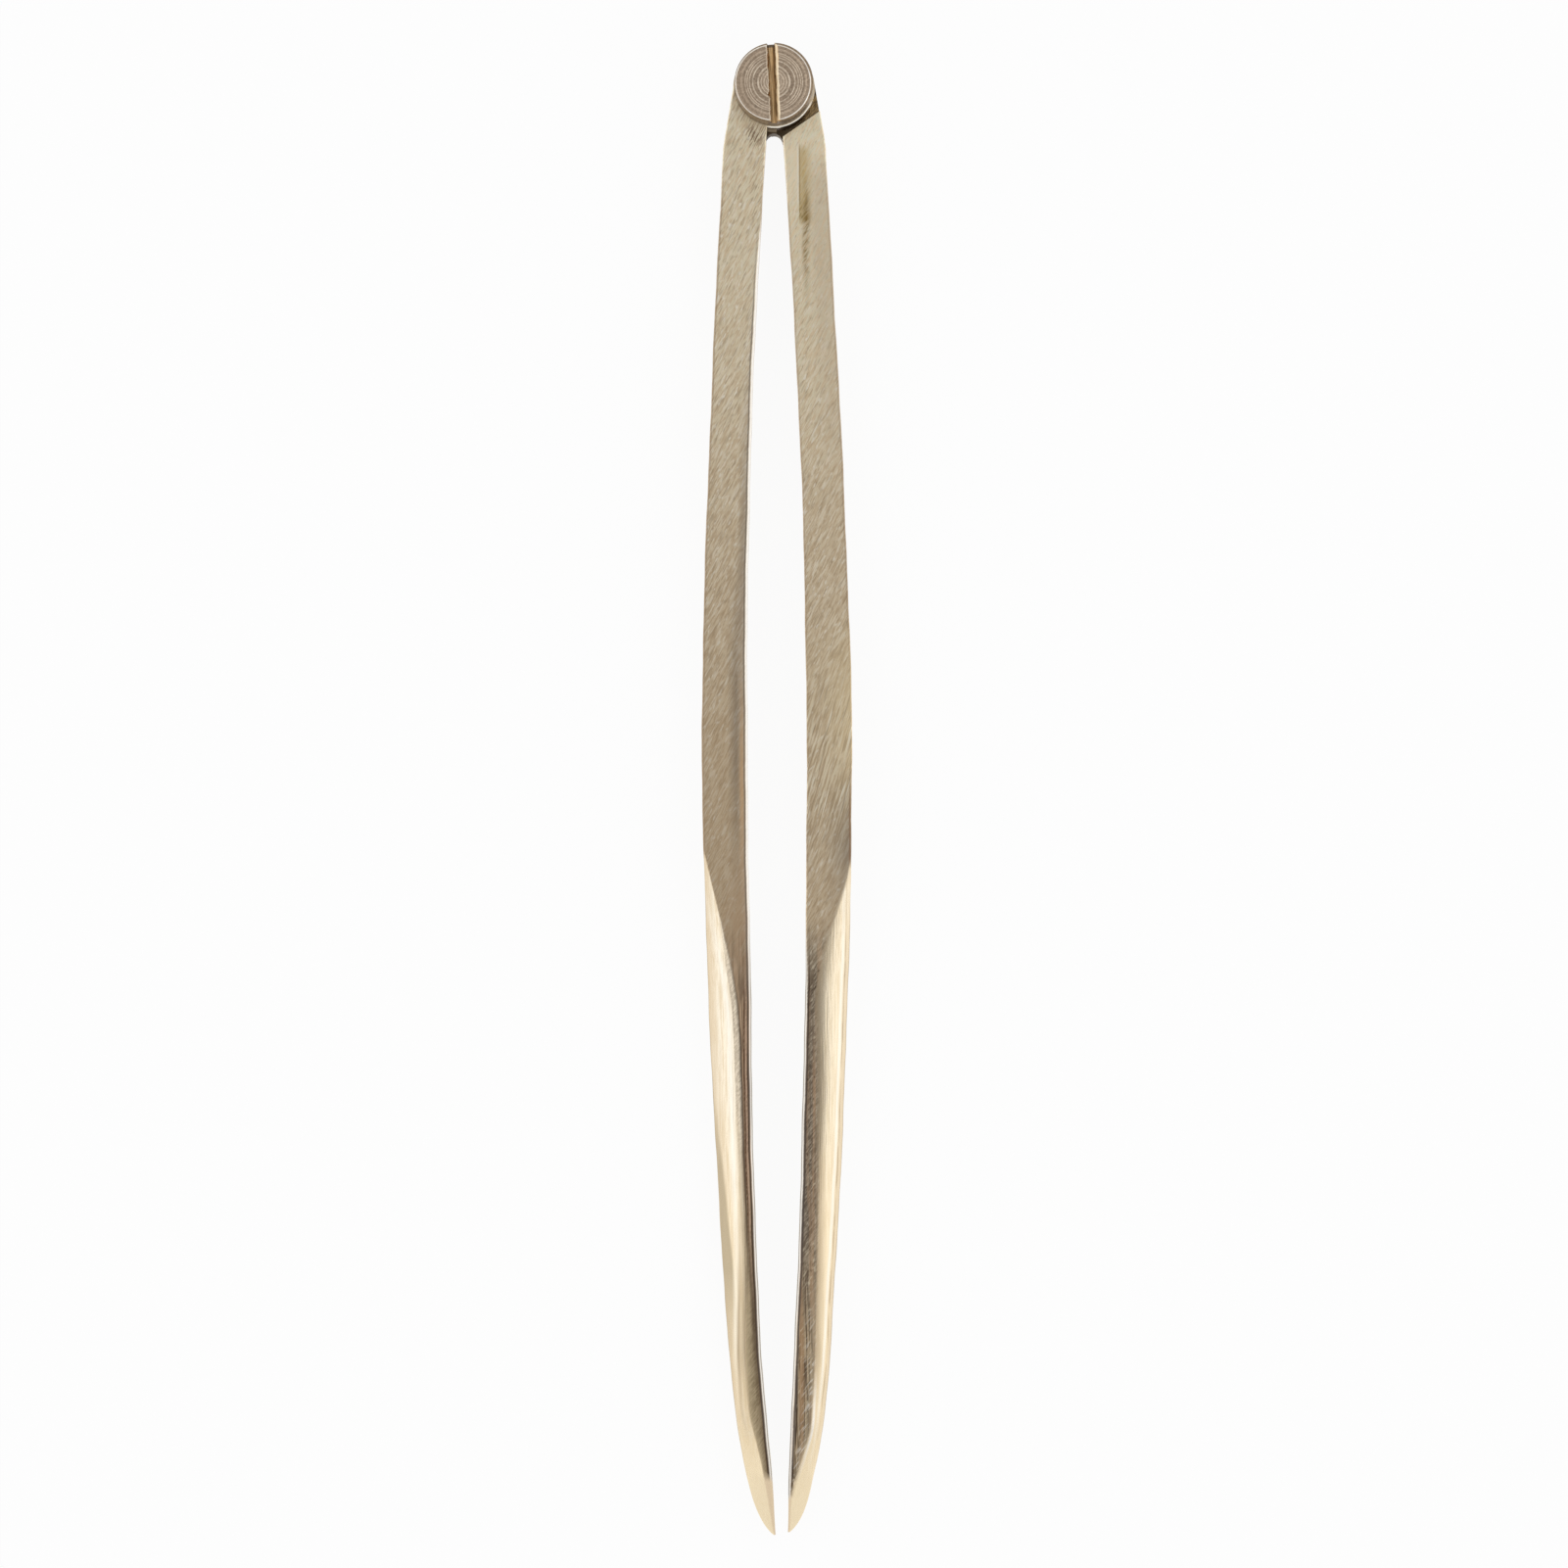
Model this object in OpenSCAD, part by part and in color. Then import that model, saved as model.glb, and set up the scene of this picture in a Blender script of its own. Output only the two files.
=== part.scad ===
// Navigation divider: two bowed legs that turn on one slotted screw.
// The legs are one shape, used twice. The right leg is the left one turned over about the long axis,
// so that its half-thickness eye lies under the left leg's eye in a lap joint.
// Millimetres. The divider lies on its back on Z = 0, with the pivot axis on Z, the screw head up
// and the points towards -Y. It is drawn slightly open.

/* [Leg] */
// Distance from the pivot axis to the point of a leg
leg_length = 185.4; // [150:0.2:230]
// Thickness of a leg, from its front face to its back face
leg_thickness = 5.5; // [4.5:0.1:7]
// Width of a leg at the neck, under the joint
neck_width = 5.4; // [4.8:0.1:7]
// Width of a leg at the waist, where the pair is widest
waist_width = 5.8; // [5:0.1:8]
// Width of a leg at the heel, where the point begins
heel_width = 4.6; // [3.6:0.1:6]
// Distance from the pivot axis to the neck
neck_at = 7.8; // [7.5:0.1:10]
// Distance from the pivot axis to the waist
waist_at = 82; // [60:1:95]
// Gap between the legs at the neck
neck_gap = 2.2; // [1.6:0.1:4]
// Gap between the legs at the waist
waist_gap = 7.6; // [5:0.1:14]
// Break along the long edges of a leg
edge_break = 0.12; // [0.08:0.02:0.5]

/* [Blade] */
// Length of the ground blade, from the start of the bevel to the point
blade_length = 88; // [70:0.5:110]
// Length over which the bevel runs out into the flat of the leg
runout_length = 23; // [12:0.5:30]
// Width of the flat strip that stays between the bevel and the inner edge
strip_width = 1.5; // [0.8:0.1:2.5]
// Thickness left at the outer edge of the blade
blade_edge = 1.4; // [0.8:0.1:2.5]
// Swell of the bevel above a straight line
bevel_swell = 0.35; // [0:0.05:0.6]
// Thickness of the blade at the heel
heel_thickness = 4.4; // [3:0.1:5.5]

/* [Point] */
// Length of the point, from the heel to its end
point_length = 22; // [15:0.5:30]
// Length of the last grind that thins the point
grind_length = 7.6; // [6:0.1:13]
// Size of the blunt end of the point
point_size = 0.25; // [0.15:0.05:0.5]
// Gap between the two points
point_gap = 1.1; // [0.6:0.1:4]
// Height of the corner that the outer curve of the point is drawn to
belly_rise = 3.9; // [3:0.1:4.5]
// Distance of that corner from the end of the point
belly_reach = 3; // [2:0.1:5]

/* [Joint] */
// Diameter of the round eye of a leg
eye_d = 10.4; // [9.6:0.1:12.5]
// Gap between an eye and the shoulder of the other leg
shoulder_clearance = 0.75; // [0.3:0.05:1]
// Slant of the shoulder from square to the leg
shoulder_angle = 34.5; // [25:0.5:40]
// Metal left between an eye and the top of the round crotch
crotch_web = 0.75; // [0.3:0.05:1.4]
// Step from the front face of a leg down to the web of its crotch
crotch_step = 0.5; // [0.2:0.05:1]
// Thickness of the friction washer between the eyes
washer_thickness = 0.3; // [0.2:0.05:0.6]
// Radial running clearance on the screw
running_clearance = 0.05; // [0.02:0.01:0.1]

/* [Screw] */
// Diameter of the screw head
head_d = 10; // [8.5:0.1:11.5]
// Height of the screw head
head_height = 3.2; // [2.2:0.1:4.5]
// Chamfer round the top of the screw head
head_chamfer = 0.25; // [0.2:0.05:0.8]
// Width of the screwdriver slot
slot_width = 1.4; // [1:0.1:2]
// Depth of the screwdriver slot
slot_depth = 1.5; // [1:0.1:2]
// Turn of the slot from the line of the legs
slot_angle = 2.3; // [-45:0.1:45]
// Diameter of the plain journal that the front eye turns on
journal_d = 5; // [4.4:0.1:6]
// Diameter of the threaded end in the rear eye
thread_d = 4; // [3:0.1:4.2]
// Depth of the threaded end below the back face of the rear eye
end_recess = 0.15; // [0.05:0.05:0.5]
// Chamfer on the threaded end
end_chamfer = 0.3; // [0.1:0.05:0.5]
// Gap that lets the head clamp before the journal bottoms
clamp_gap = 0.1; // [0.05:0.05:0.2]

/* [Hidden] */
$fn = 64;

leg_brass = "#c9b583";
screw_brass = "#a08c70";
washer_brass = "#b99b5f";

// Places along a leg, as distances from the pivot axis
heel_at = leg_length - point_length;
blade_at = leg_length - blade_length;
runout_at = blade_at + runout_length;

// Curve exponents of the outer edge above and below the waist, and of the bevel's run-out
upper_bow = 1.4;
lower_bow = 1.8;
runout_bow = 1.3;

// Stations of the loft in each stretch, and steps across the bevel
bar_steps = 16;
runout_steps = 14;
blade_steps = 10;
point_steps = 16;
bevel_steps = 5;

// Joint heights, from the middle plane of the legs
half_thickness = leg_thickness / 2;
half_washer = washer_thickness / 2;
eye_r = eye_d / 2;
shoulder_at = eye_r + shoulder_clearance;
bore_d = journal_d + 2 * running_clearance;
tapped_d = thread_d + 2 * running_clearance;
cut_margin = 1;

// The round crotch: slightly wider than the gap there, with each web a little past the middle
crotch_at = eye_r + crotch_web + neck_gap / 2;
crotch_wider = 1.05;
web_past = 0.3;

// Inner edge of a leg: its distance from the centre line between the legs, at distance d
function inner_edge(d) =
    d < waist_at
        ? (waist_gap - (waist_gap - neck_gap) * pow((waist_at - d) / (waist_at - neck_at), 2)) / 2
        : (waist_gap - (waist_gap - point_gap) * pow((d - waist_at) / (leg_length - waist_at), 2)) / 2;

// Outer edge at the three places that set it
outer_neck = inner_edge(neck_at) + neck_width;
outer_waist = inner_edge(waist_at) + waist_width;
outer_heel = inner_edge(heel_at) + heel_width;
outer_end = inner_edge(leg_length) + point_size;

// The neck's outer edge is the line from the neck that just touches the round of the eye
neck_reach = norm([outer_neck, neck_at]);
touch_angle = atan2(neck_at, outer_neck) - acos(eye_r / neck_reach);
touch_x = eye_r * cos(touch_angle);
touch_at = eye_r * sin(touch_angle);

// Outer curve of the point: a quadratic curve from the heel to the end, drawn to one corner.
// This is the curve's parameter at distance v from the end.
function belly_t(v) =
    let (a = point_length - 2 * belly_reach, b = 2 * (point_length - belly_reach))
    (b - sqrt(b * b - 4 * a * (point_length - v))) / (2 * a);
function belly(v) =
    let (t = belly_t(v))
    outer_end + (outer_heel - outer_end) * (1 - t) * (1 - t) + 2 * belly_rise * t * (1 - t);

// Outer edge of a leg, from the eye to the end of the point
function outer_edge(d) =
    d < neck_at ? touch_x + (outer_neck - touch_x) * (d - touch_at) / (neck_at - touch_at)
    : d < waist_at
        ? outer_waist - (outer_waist - outer_neck) * pow((waist_at - d) / (waist_at - neck_at), upper_bow)
    : d < heel_at
        ? outer_waist - (outer_waist - outer_heel) * pow((d - waist_at) / (heel_at - waist_at), lower_bow)
    : belly(leg_length - d);

// Half thickness of a leg at its flat strip
function flat_height(d) =
    d < blade_at ? half_thickness
    : d < heel_at
        ? half_thickness - (leg_thickness - heel_thickness) / 2 * (d - blade_at) / (heel_at - blade_at)
    : point_size / 2 + (heel_thickness - point_size) / 2 * min(1, (leg_length - d) / grind_length);

// How far the bevel is ground at distance d: 0 on the bar, 1 on the blade
function grind(d) =
    d < blade_at ? 0
    : d < runout_at ? pow(sin(90 * (d - blade_at) / runout_length), runout_bow)
    : 1;

// Width left flat beside the inner edge, which closes up along the point
function strip(d) = strip_width * min(1, (leg_length - d) / grind_length);

// Half of one cross-section, front side, from the inner edge to the outer edge, as [x, z]
function half_section(d) =
    let (
        inner = inner_edge(d),
        outer = outer_edge(d),
        top = flat_height(d),
        break = min(edge_break, top / 3, (outer - inner) / 6),
        g = grind(d),
        bevel = break + (outer - inner - strip(d) - 2 * break) * g,
        drop = break + (top - min(blade_edge / 2, top / 2) - break) * g,
        ridge = [outer - bevel, top],
        rim = [outer, top - drop],
        across = rim - ridge,
        out = [-across[1], across[0]]
    )
    concat(
        [[inner, top - break], [inner + break, top]],
        [
            for (i = [0 : bevel_steps])
                let (u = i / bevel_steps)
                ridge + u * across + bevel_swell * g * u * (1 - u) * out
        ]
    );

// A whole cross-section of the left leg, as points in the leg's frame
function section(d) =
    let (half = half_section(d), n = len(half))
    [
        for (i = [0 : 2 * n - 1])
            let (p = i < n ? half[i] : half[2 * n - 1 - i])
            [-p[0], -d, i < n ? p[1] : -p[1]]
    ];

function spaced(a, b, steps) = [for (i = [0 : steps - 1]) a + (b - a) * i / steps];
stations = concat(
    [touch_at],
    spaced(neck_at, blade_at, bar_steps),
    spaced(blade_at, runout_at, runout_steps),
    spaced(runout_at, heel_at, blade_steps),
    [for (i = [0 : point_steps]) let (u = 1 - i / point_steps) leg_length - point_length * u * u]
);

// The solid leg, lofted through its cross-sections
module leg_loft() {
    rings = [for (d = stations) section(d)];
    n = len(rings[0]);
    last = (len(rings) - 1) * n;
    sides = [
        for (k = [0 : len(rings) - 2], i = [0 : n - 1])
            let (a = k * n + i, b = k * n + (i + 1) % n)
            each [[a, a + n, b], [b, a + n, b + n]]
    ];
    caps = [[for (i = [0 : n - 1]) i], [for (i = [n - 1 : -1 : 0]) last + i]];
    polyhedron(points = [for (ring = rings) each ring], faces = concat(sides, caps));
}

// The half-thickness eye, with its edge broken at the front
module eye() {
    rotate_extrude()
        polygon([
            [0, half_washer],
            [eye_r, half_washer],
            [eye_r, half_thickness - edge_break],
            [eye_r - edge_break, half_thickness],
            [0, half_thickness]
        ]);
}

// The web between the eye and the inner edge, with the round crotch filed out of it
module crotch() {
    crotch_r = crotch_wider * inner_edge(crotch_at);
    left = -crotch_r - strip_width;
    right = web_past * crotch_r;
    translate([0, 0, half_washer])
        linear_extrude(half_thickness - crotch_step - half_washer)
            difference() {
                polygon([
                    [left, -crotch_at],
                    [right, -crotch_at],
                    [right, -eye_r / 2],
                    [left, -eye_r / 2]
                ]);
                translate([0, -crotch_at]) circle(crotch_r);
            }
}

// One leg in the middle plane's frame: the eye is in the front half, and the lap behind it is cut
// away as far as the slanted shoulder.
module leg(hole_d) {
    reach = 2 * eye_d;
    difference() {
        union() {
            leg_loft();
            eye();
            crotch();
        }
        rotate([0, 0, -shoulder_angle])
            translate([-reach, -shoulder_at, -half_thickness - cut_margin])
                cube([2 * reach, shoulder_at + reach, half_thickness + cut_margin + half_washer]);
        translate([0, 0, -half_thickness - cut_margin])
            cylinder(h = leg_thickness + 2 * cut_margin, d = hole_d);
    }
}

module left_leg() {
    color(leg_brass)
        translate([0, 0, half_thickness])
            leg(bore_d);
}

module right_leg() {
    color(leg_brass)
        translate([0, 0, half_thickness])
            rotate([0, 180, 0])
                leg(tapped_d);
}

// Slotted cheese-head screw: a journal for the front eye and a threaded end for the rear eye
module pivot_screw() {
    head_r = head_d / 2;
    thread_r = thread_d / 2;
    seat_z = leg_thickness;
    step_z = half_thickness - half_washer + clamp_gap;
    color(screw_brass)
        difference() {
            rotate_extrude()
                polygon([
                    [0, end_recess],
                    [thread_r - end_chamfer, end_recess],
                    [thread_r, end_recess + end_chamfer],
                    [thread_r, step_z],
                    [journal_d / 2, step_z],
                    [journal_d / 2, seat_z],
                    [head_r, seat_z],
                    [head_r, seat_z + head_height - head_chamfer],
                    [head_r - head_chamfer, seat_z + head_height],
                    [0, seat_z + head_height]
                ]);
            rotate([0, 0, slot_angle])
                translate([-slot_width / 2, -head_d, seat_z + head_height - slot_depth])
                    cube([slot_width, 2 * head_d, slot_depth + cut_margin]);
        }
}

// Thin washer between the two eyes
module friction_washer() {
    color(washer_brass)
        translate([0, 0, half_thickness - half_washer])
            difference() {
                cylinder(h = washer_thickness, d = eye_d);
                translate([0, 0, -cut_margin])
                    cylinder(h = washer_thickness + 2 * cut_margin, d = bore_d);
            }
}

left_leg();
right_leg();
pivot_screw();
friction_washer();
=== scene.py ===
"""Looks of a brass navigation divider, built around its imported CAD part.

The two legs and the pivot screw are remade here as finer meshes with eased edges and hand-filed lines.
The friction washer keeps its CAD solid. Meshes are laid out in millimetres and stored in metres.
"""

import math

import bpy
from mathutils import Matrix, Vector


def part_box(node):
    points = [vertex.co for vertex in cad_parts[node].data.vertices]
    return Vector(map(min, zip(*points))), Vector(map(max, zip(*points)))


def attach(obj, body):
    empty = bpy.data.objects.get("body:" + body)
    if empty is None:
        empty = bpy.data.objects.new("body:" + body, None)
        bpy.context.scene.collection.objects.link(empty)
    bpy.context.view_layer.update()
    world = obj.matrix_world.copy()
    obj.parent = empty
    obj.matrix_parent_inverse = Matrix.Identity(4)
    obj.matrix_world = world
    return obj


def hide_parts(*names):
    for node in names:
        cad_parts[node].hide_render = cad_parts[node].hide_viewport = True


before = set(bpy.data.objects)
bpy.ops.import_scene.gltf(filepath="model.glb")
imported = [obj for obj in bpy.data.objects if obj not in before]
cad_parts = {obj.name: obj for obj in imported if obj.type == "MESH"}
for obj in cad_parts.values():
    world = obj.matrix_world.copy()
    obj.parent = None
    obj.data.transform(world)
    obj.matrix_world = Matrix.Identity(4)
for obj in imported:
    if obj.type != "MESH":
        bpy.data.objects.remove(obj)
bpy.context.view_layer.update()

MM = 0.001


def in_mm(corner):
    return [value / MM for value in corner]


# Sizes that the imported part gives, in millimetres
leg_low, leg_high = (in_mm(corner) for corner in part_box("left_leg"))
screw_low, screw_high = (in_mm(corner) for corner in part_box("pivot_screw"))
washer_low, washer_high = (in_mm(corner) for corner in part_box("friction_washer"))
LEG_LENGTH = -leg_low[1]
LEG_THICKNESS = leg_high[2]
EYE_R = washer_high[0]
HEAD_R = screw_high[0]
HEAD_TOP = screw_high[2]
SCREW_END = screw_low[2]
HALF_THICKNESS = LEG_THICKNESS / 2
HALF_WASHER = (washer_high[2] - washer_low[2]) / 2

# Leg sizes that the part's source also has
NECK_AT, NECK_WIDTH, NECK_GAP = 7.8, 5.4, 2.2
WAIST_AT, WAIST_WIDTH, WAIST_GAP = 82.0, 5.8, 7.6
HEEL_WIDTH, HEEL_THICKNESS, POINT_LENGTH = 4.6, 4.4, 22.0
BLADE_LENGTH, RUNOUT_LENGTH = 88.0, 23.0
GRIND_LENGTH, POINT_SIZE, POINT_GAP = 7.6, 0.25, 1.1
BELLY_RISE, BELLY_REACH = 3.9, 3.0
UPPER_BOW, LOWER_BOW = 1.4, 1.8
SHOULDER_AT, SHOULDER_ANGLE = EYE_R + 0.75, math.radians(34.5)
ARCH_WIDER, ARCH_PAST, ARCH_STEP = 1.05, 0.3, 0.5
BORE_R, TAPPED_R, JOURNAL_R, THREAD_R = 2.55, 2.05, 2.5, 2.0
BAR_EASE, EYE_EASE, EYE_DROP = 0.11, 0.28, 0.14
HEEL_AT = LEG_LENGTH - POINT_LENGTH
BLADE_AT = LEG_LENGTH - BLADE_LENGTH
RUNOUT_AT = BLADE_AT + RUNOUT_LENGTH


def mixed(a, b, share):
    return a + (b - a) * share


def smooth(low, high, value):
    """0 below low, 1 above high, with an S curve between."""
    u = min(1.0, max(0.0, (value - low) / (high - low)))
    return u * u * (3 - 2 * u)


def ramp(start, end, value):
    """0 at start and 1 at end, with an S curve between; start may be above end."""
    return smooth(start, end, value) if start < end else 1 - smooth(end, start, value)


# Edge lines of a leg: distances from the line between the legs, at distance d from the pivot


def inner_edge(d):
    if d < WAIST_AT:
        away = ((WAIST_AT - d) / (WAIST_AT - NECK_AT)) ** 2
        return mixed(WAIST_GAP, NECK_GAP, away) / 2
    away = ((d - WAIST_AT) / (LEG_LENGTH - WAIST_AT)) ** 2
    return mixed(WAIST_GAP, POINT_GAP, away) / 2


OUTER_NECK = inner_edge(NECK_AT) + NECK_WIDTH
OUTER_WAIST = inner_edge(WAIST_AT) + WAIST_WIDTH
OUTER_HEEL = inner_edge(HEEL_AT) + HEEL_WIDTH
OUTER_END = inner_edge(LEG_LENGTH) + POINT_SIZE
TOUCH_ANGLE = math.atan2(NECK_AT, OUTER_NECK) - math.acos(EYE_R / math.hypot(OUTER_NECK, NECK_AT))
TOUCH_X, TOUCH_AT = EYE_R * math.cos(TOUCH_ANGLE), EYE_R * math.sin(TOUCH_ANGLE)


def belly(from_end):
    """Outer curve of the point, a quadratic curve from the heel to the end."""
    a = POINT_LENGTH - 2 * BELLY_REACH
    b = 2 * (POINT_LENGTH - BELLY_REACH)
    t = (b - math.sqrt(max(0.0, b * b - 4 * a * (POINT_LENGTH - from_end)))) / (2 * a)
    return OUTER_END + (OUTER_HEEL - OUTER_END) * (1 - t) ** 2 + 2 * BELLY_RISE * t * (1 - t)


def outer_edge(d):
    if d < NECK_AT:
        return mixed(TOUCH_X, OUTER_NECK, (d - TOUCH_AT) / (NECK_AT - TOUCH_AT))
    if d < WAIST_AT:
        return mixed(OUTER_WAIST, OUTER_NECK, ((WAIST_AT - d) / (WAIST_AT - NECK_AT)) ** UPPER_BOW)
    if d < HEEL_AT:
        return mixed(OUTER_WAIST, OUTER_HEEL, ((d - WAIST_AT) / (HEEL_AT - WAIST_AT)) ** LOWER_BOW)
    return belly(LEG_LENGTH - d)


def flat_height(d):
    if d < BLADE_AT:
        return HALF_THICKNESS
    if d < HEEL_AT:
        return mixed(HALF_THICKNESS, HEEL_THICKNESS / 2, (d - BLADE_AT) / (HEEL_AT - BLADE_AT))
    return mixed(POINT_SIZE, HEEL_THICKNESS, min(1.0, (LEG_LENGTH - d) / GRIND_LENGTH)) / 2


def grind(d, runout):
    """How far the bevel is ground: 0 on the bar, 1 on the blade."""
    begin, length, bow = runout
    u = min(1.0, max(0.0, (d - begin) / length))
    return math.sin(u * math.pi / 2) ** bow


# What differs between the two hand-ground legs:
# runout: start, length and bow of the bevel's run-out
# strip: width of the flat beside the inner edge, at distances from the end of the point
# ridge, swell, rim: how rounded the ridge is, how full the bevel and how thick the outer edge, at the
#   run-out and on the blade
# neck: extra width beside the eye
# arch: how far below the pivot the middle of the crotch's round arch is
# trim, edge: where and how much the inner edge was filed back and broken
# waves: phases of the slow file waves along the edges
# point_from: length of the bright end of the point
# tip: how far the end of the point is bent outwards, and how much shorter it was ground
LEG_HANDS = {
    "left": {
        "runout": (BLADE_AT + 0.2, 26.0, 1.15),
        "strip": (
            (66, 1.5), (50, 1.25), (36, 1.2), (24, 1.85), (15.4, 2.1),
            (13.3, 1.6), (9.7, 1.1), (8.1, 0.96), (0, 0.08),
        ),
        "ridge": (0.14, 0.24),
        "swell": (0.14, 0.12),
        "rim": (0.7, 0.7),
        "neck": 0.0,
        "arch": EYE_R + 1.85,
        "trim": ((108, 150), 0.5),
        "edge": ((14, 26), 0.3),
        "waves": (0.4, 2.1, 4.0),
        "point_from": 7.9,
        "tip": (0.1, 0.0),
    },
    "right": {
        "runout": (BLADE_AT + 1.1, 19.0, 1.5),
        "strip": (
            (68, 1.35), (60, 1.75), (42, 2.15), (24, 2.6), (14, 2.6),
            (11.4, 1.95), (8.9, 1.3), (6.4, 0.55), (4.6, 0.2), (0, 0.05),
        ),
        "ridge": (0.3, 0.2),
        "swell": (0.4, 0.16),
        "rim": (1.15, 0.7),
        "neck": 0.16,
        "arch": EYE_R + 1.5,
        "trim": ((22, 9), 0.12),
        "edge": ((104, 122), 0.3),
        "waves": (3.3, 0.9, 5.2),
        "point_from": 5.4,
        "tip": (0.38, 0.35),
    },
}
BLADE_SETTLES = (RUNOUT_AT + 6, RUNOUT_AT + 26)
# Slow waves of a hand file: height and length; they rise below the joint and die out at the point
FILE_WAVES = ((0.035, 31.0), (0.022, 12.5), (0.012, 5.3))
WAVES_RISE, WAVES_DIE = (9, 16), (0, 10)
STRIP_SMOOTHING = (-1.2, -0.6, 0.0, 0.6, 1.2)
TRIM_FADE, TIP_LENGTH, NECK_BLEND = (2, 24), 9, 4


def file_wave(d, phases, shift):
    """Distance that an edge waves out at d."""
    held = smooth(*WAVES_RISE, d) * smooth(*WAVES_DIE, LEG_LENGTH - d)
    return held * sum(
        height * math.sin(math.tau * d / length + phase + shift)
        for (height, length), phase in zip(FILE_WAVES, phases)
    )


def on_steps(steps, from_end):
    """Value on straight lines between steps of (distance from the end of the point, value)."""
    for (far, a), (near, b) in zip(steps, steps[1:]):
        if from_end >= near:
            return mixed(b, a, min(1.0, (from_end - near) / (far - near)))
    return steps[-1][1]


def strip_width(d, hand):
    """Flat left beside the inner edge on the blade; it closes up along the point."""
    widths = [on_steps(hand["strip"], LEG_LENGTH - d + shift) for shift in STRIP_SMOOTHING]
    return sum(widths) / len(widths)


def settled(d, pair):
    """A value of the run-out that changes to that of the blade."""
    return mixed(*pair, smooth(*BLADE_SETTLES, d))


def curve_points(a, control, b, steps):
    """Quadratic curve from a to b, without its first point."""
    return [
        a * (1 - t) ** 2 + control * (2 * t * (1 - t)) + b * t**2
        for t in (i / steps for i in range(1, steps + 1))
    ]


def line_points(a, b, steps):
    return [a.lerp(b, i / steps) for i in range(1, steps + 1)]


EASE_STEPS, FLAT_STEPS, BEVEL_STEPS, SIDE_STEPS = 6, 5, 12, 3
EDGE_SLOPE = 0.48


def leg_layout(d, hand):
    """Corner places of one cross-section: inner and outer edge, height, edge ease, ridge and rim."""
    where, amount = hand["trim"]
    trim = amount * ramp(*where, d) * smooth(*TRIM_FADE, LEG_LENGTH - d)
    bend = hand["tip"][0] * ramp(TIP_LENGTH, 0, LEG_LENGTH - d)
    inner = inner_edge(d) + file_wave(d, hand["waves"], 0.0) + trim + bend
    neck = hand["neck"] * ramp(NECK_AT + NECK_BLEND, NECK_AT - NECK_BLEND, d)
    outer = outer_edge(d) + file_wave(d, hand["waves"], 1.7) + neck + bend
    top = flat_height(d)
    g = grind(d, hand["runout"])
    widest = min(top / 3, (outer - inner) / 6)
    where, amount = hand["edge"]
    ease = min(mixed(BAR_EASE, amount, ramp(*where, d)), widest)
    bar_ease = min(BAR_EASE, widest)
    bevel = bar_ease + (outer - inner - strip_width(d, hand) - 2 * bar_ease) * g
    drop = bar_ease + (top - min(settled(d, hand["rim"]), top / 2) - bar_ease) * g
    return inner, outer, top, ease, g, Vector((outer - bevel, top)), Vector((outer, top - drop))


def half_section(d, hand):
    """Front half of a cross-section, from the middle of the inner face to that of the outer edge."""
    inner, outer, top, ease, g, ridge, rim = leg_layout(d, hand)
    across = rim - ridge
    out = Vector((-across.y, across.x))
    swell = settled(d, hand["swell"]) * g

    def bevel_at(u):
        return ridge + across * u + out * (swell * u * (1 - u))

    ridge_ease = mixed(BAR_EASE, settled(d, hand["ridge"]), g)
    ridge_ease = min(ridge_ease, across.length * 0.4, (ridge.x - inner - ease) * 0.6)
    ridge_u = ridge_ease / across.length
    rim_ease = min(BAR_EASE, across.length * 0.4, rim.y * 0.6)
    rim_u = 1 - rim_ease / across.length
    points = [Vector((inner, 0))]
    points += line_points(points[-1], Vector((inner, top - ease * EDGE_SLOPE)), SIDE_STEPS)
    points += line_points(points[-1], Vector((inner + ease, top)), 2)
    points += line_points(points[-1], Vector((ridge.x - ridge_ease, top)), FLAT_STEPS)
    points += curve_points(points[-1], ridge, bevel_at(ridge_u), EASE_STEPS)
    points += [bevel_at(mixed(ridge_u, rim_u, i / BEVEL_STEPS)) for i in range(1, BEVEL_STEPS + 1)]
    points += curve_points(points[-1], rim, Vector((outer, rim.y - rim_ease)), EASE_STEPS)
    points += line_points(points[-1], Vector((outer, 0)), SIDE_STEPS)
    return points


def spaced(low, high, count):
    return [mixed(low, high, i / count) for i in range(count)]


POINT_STATIONS = 60
STATIONS = (
    [TOUCH_AT]
    + spaced(NECK_AT - 1.5, NECK_AT + 1.5, 6)
    + spaced(NECK_AT + 1.5, BLADE_AT, 70)
    + spaced(BLADE_AT, RUNOUT_AT, 50)
    + spaced(RUNOUT_AT, HEEL_AT, 50)
    + [LEG_LENGTH - POINT_LENGTH * (1 - i / POINT_STATIONS) ** 2 for i in range(POINT_STATIONS + 1)]
)


# Mesh tools


def new_piece(name, vertices, faces):
    """A mesh object from points in millimetres."""
    mesh = bpy.data.meshes.new(name)
    mesh.from_pydata([Vector(v) * MM for v in vertices], [], faces)
    mesh.update()
    piece = bpy.data.objects.new(name, mesh)
    bpy.context.scene.collection.objects.link(piece)
    return piece


EYE_SIDES, HOLE_SIDES, HEAD_SIDES = 160, 96, 192


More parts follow.
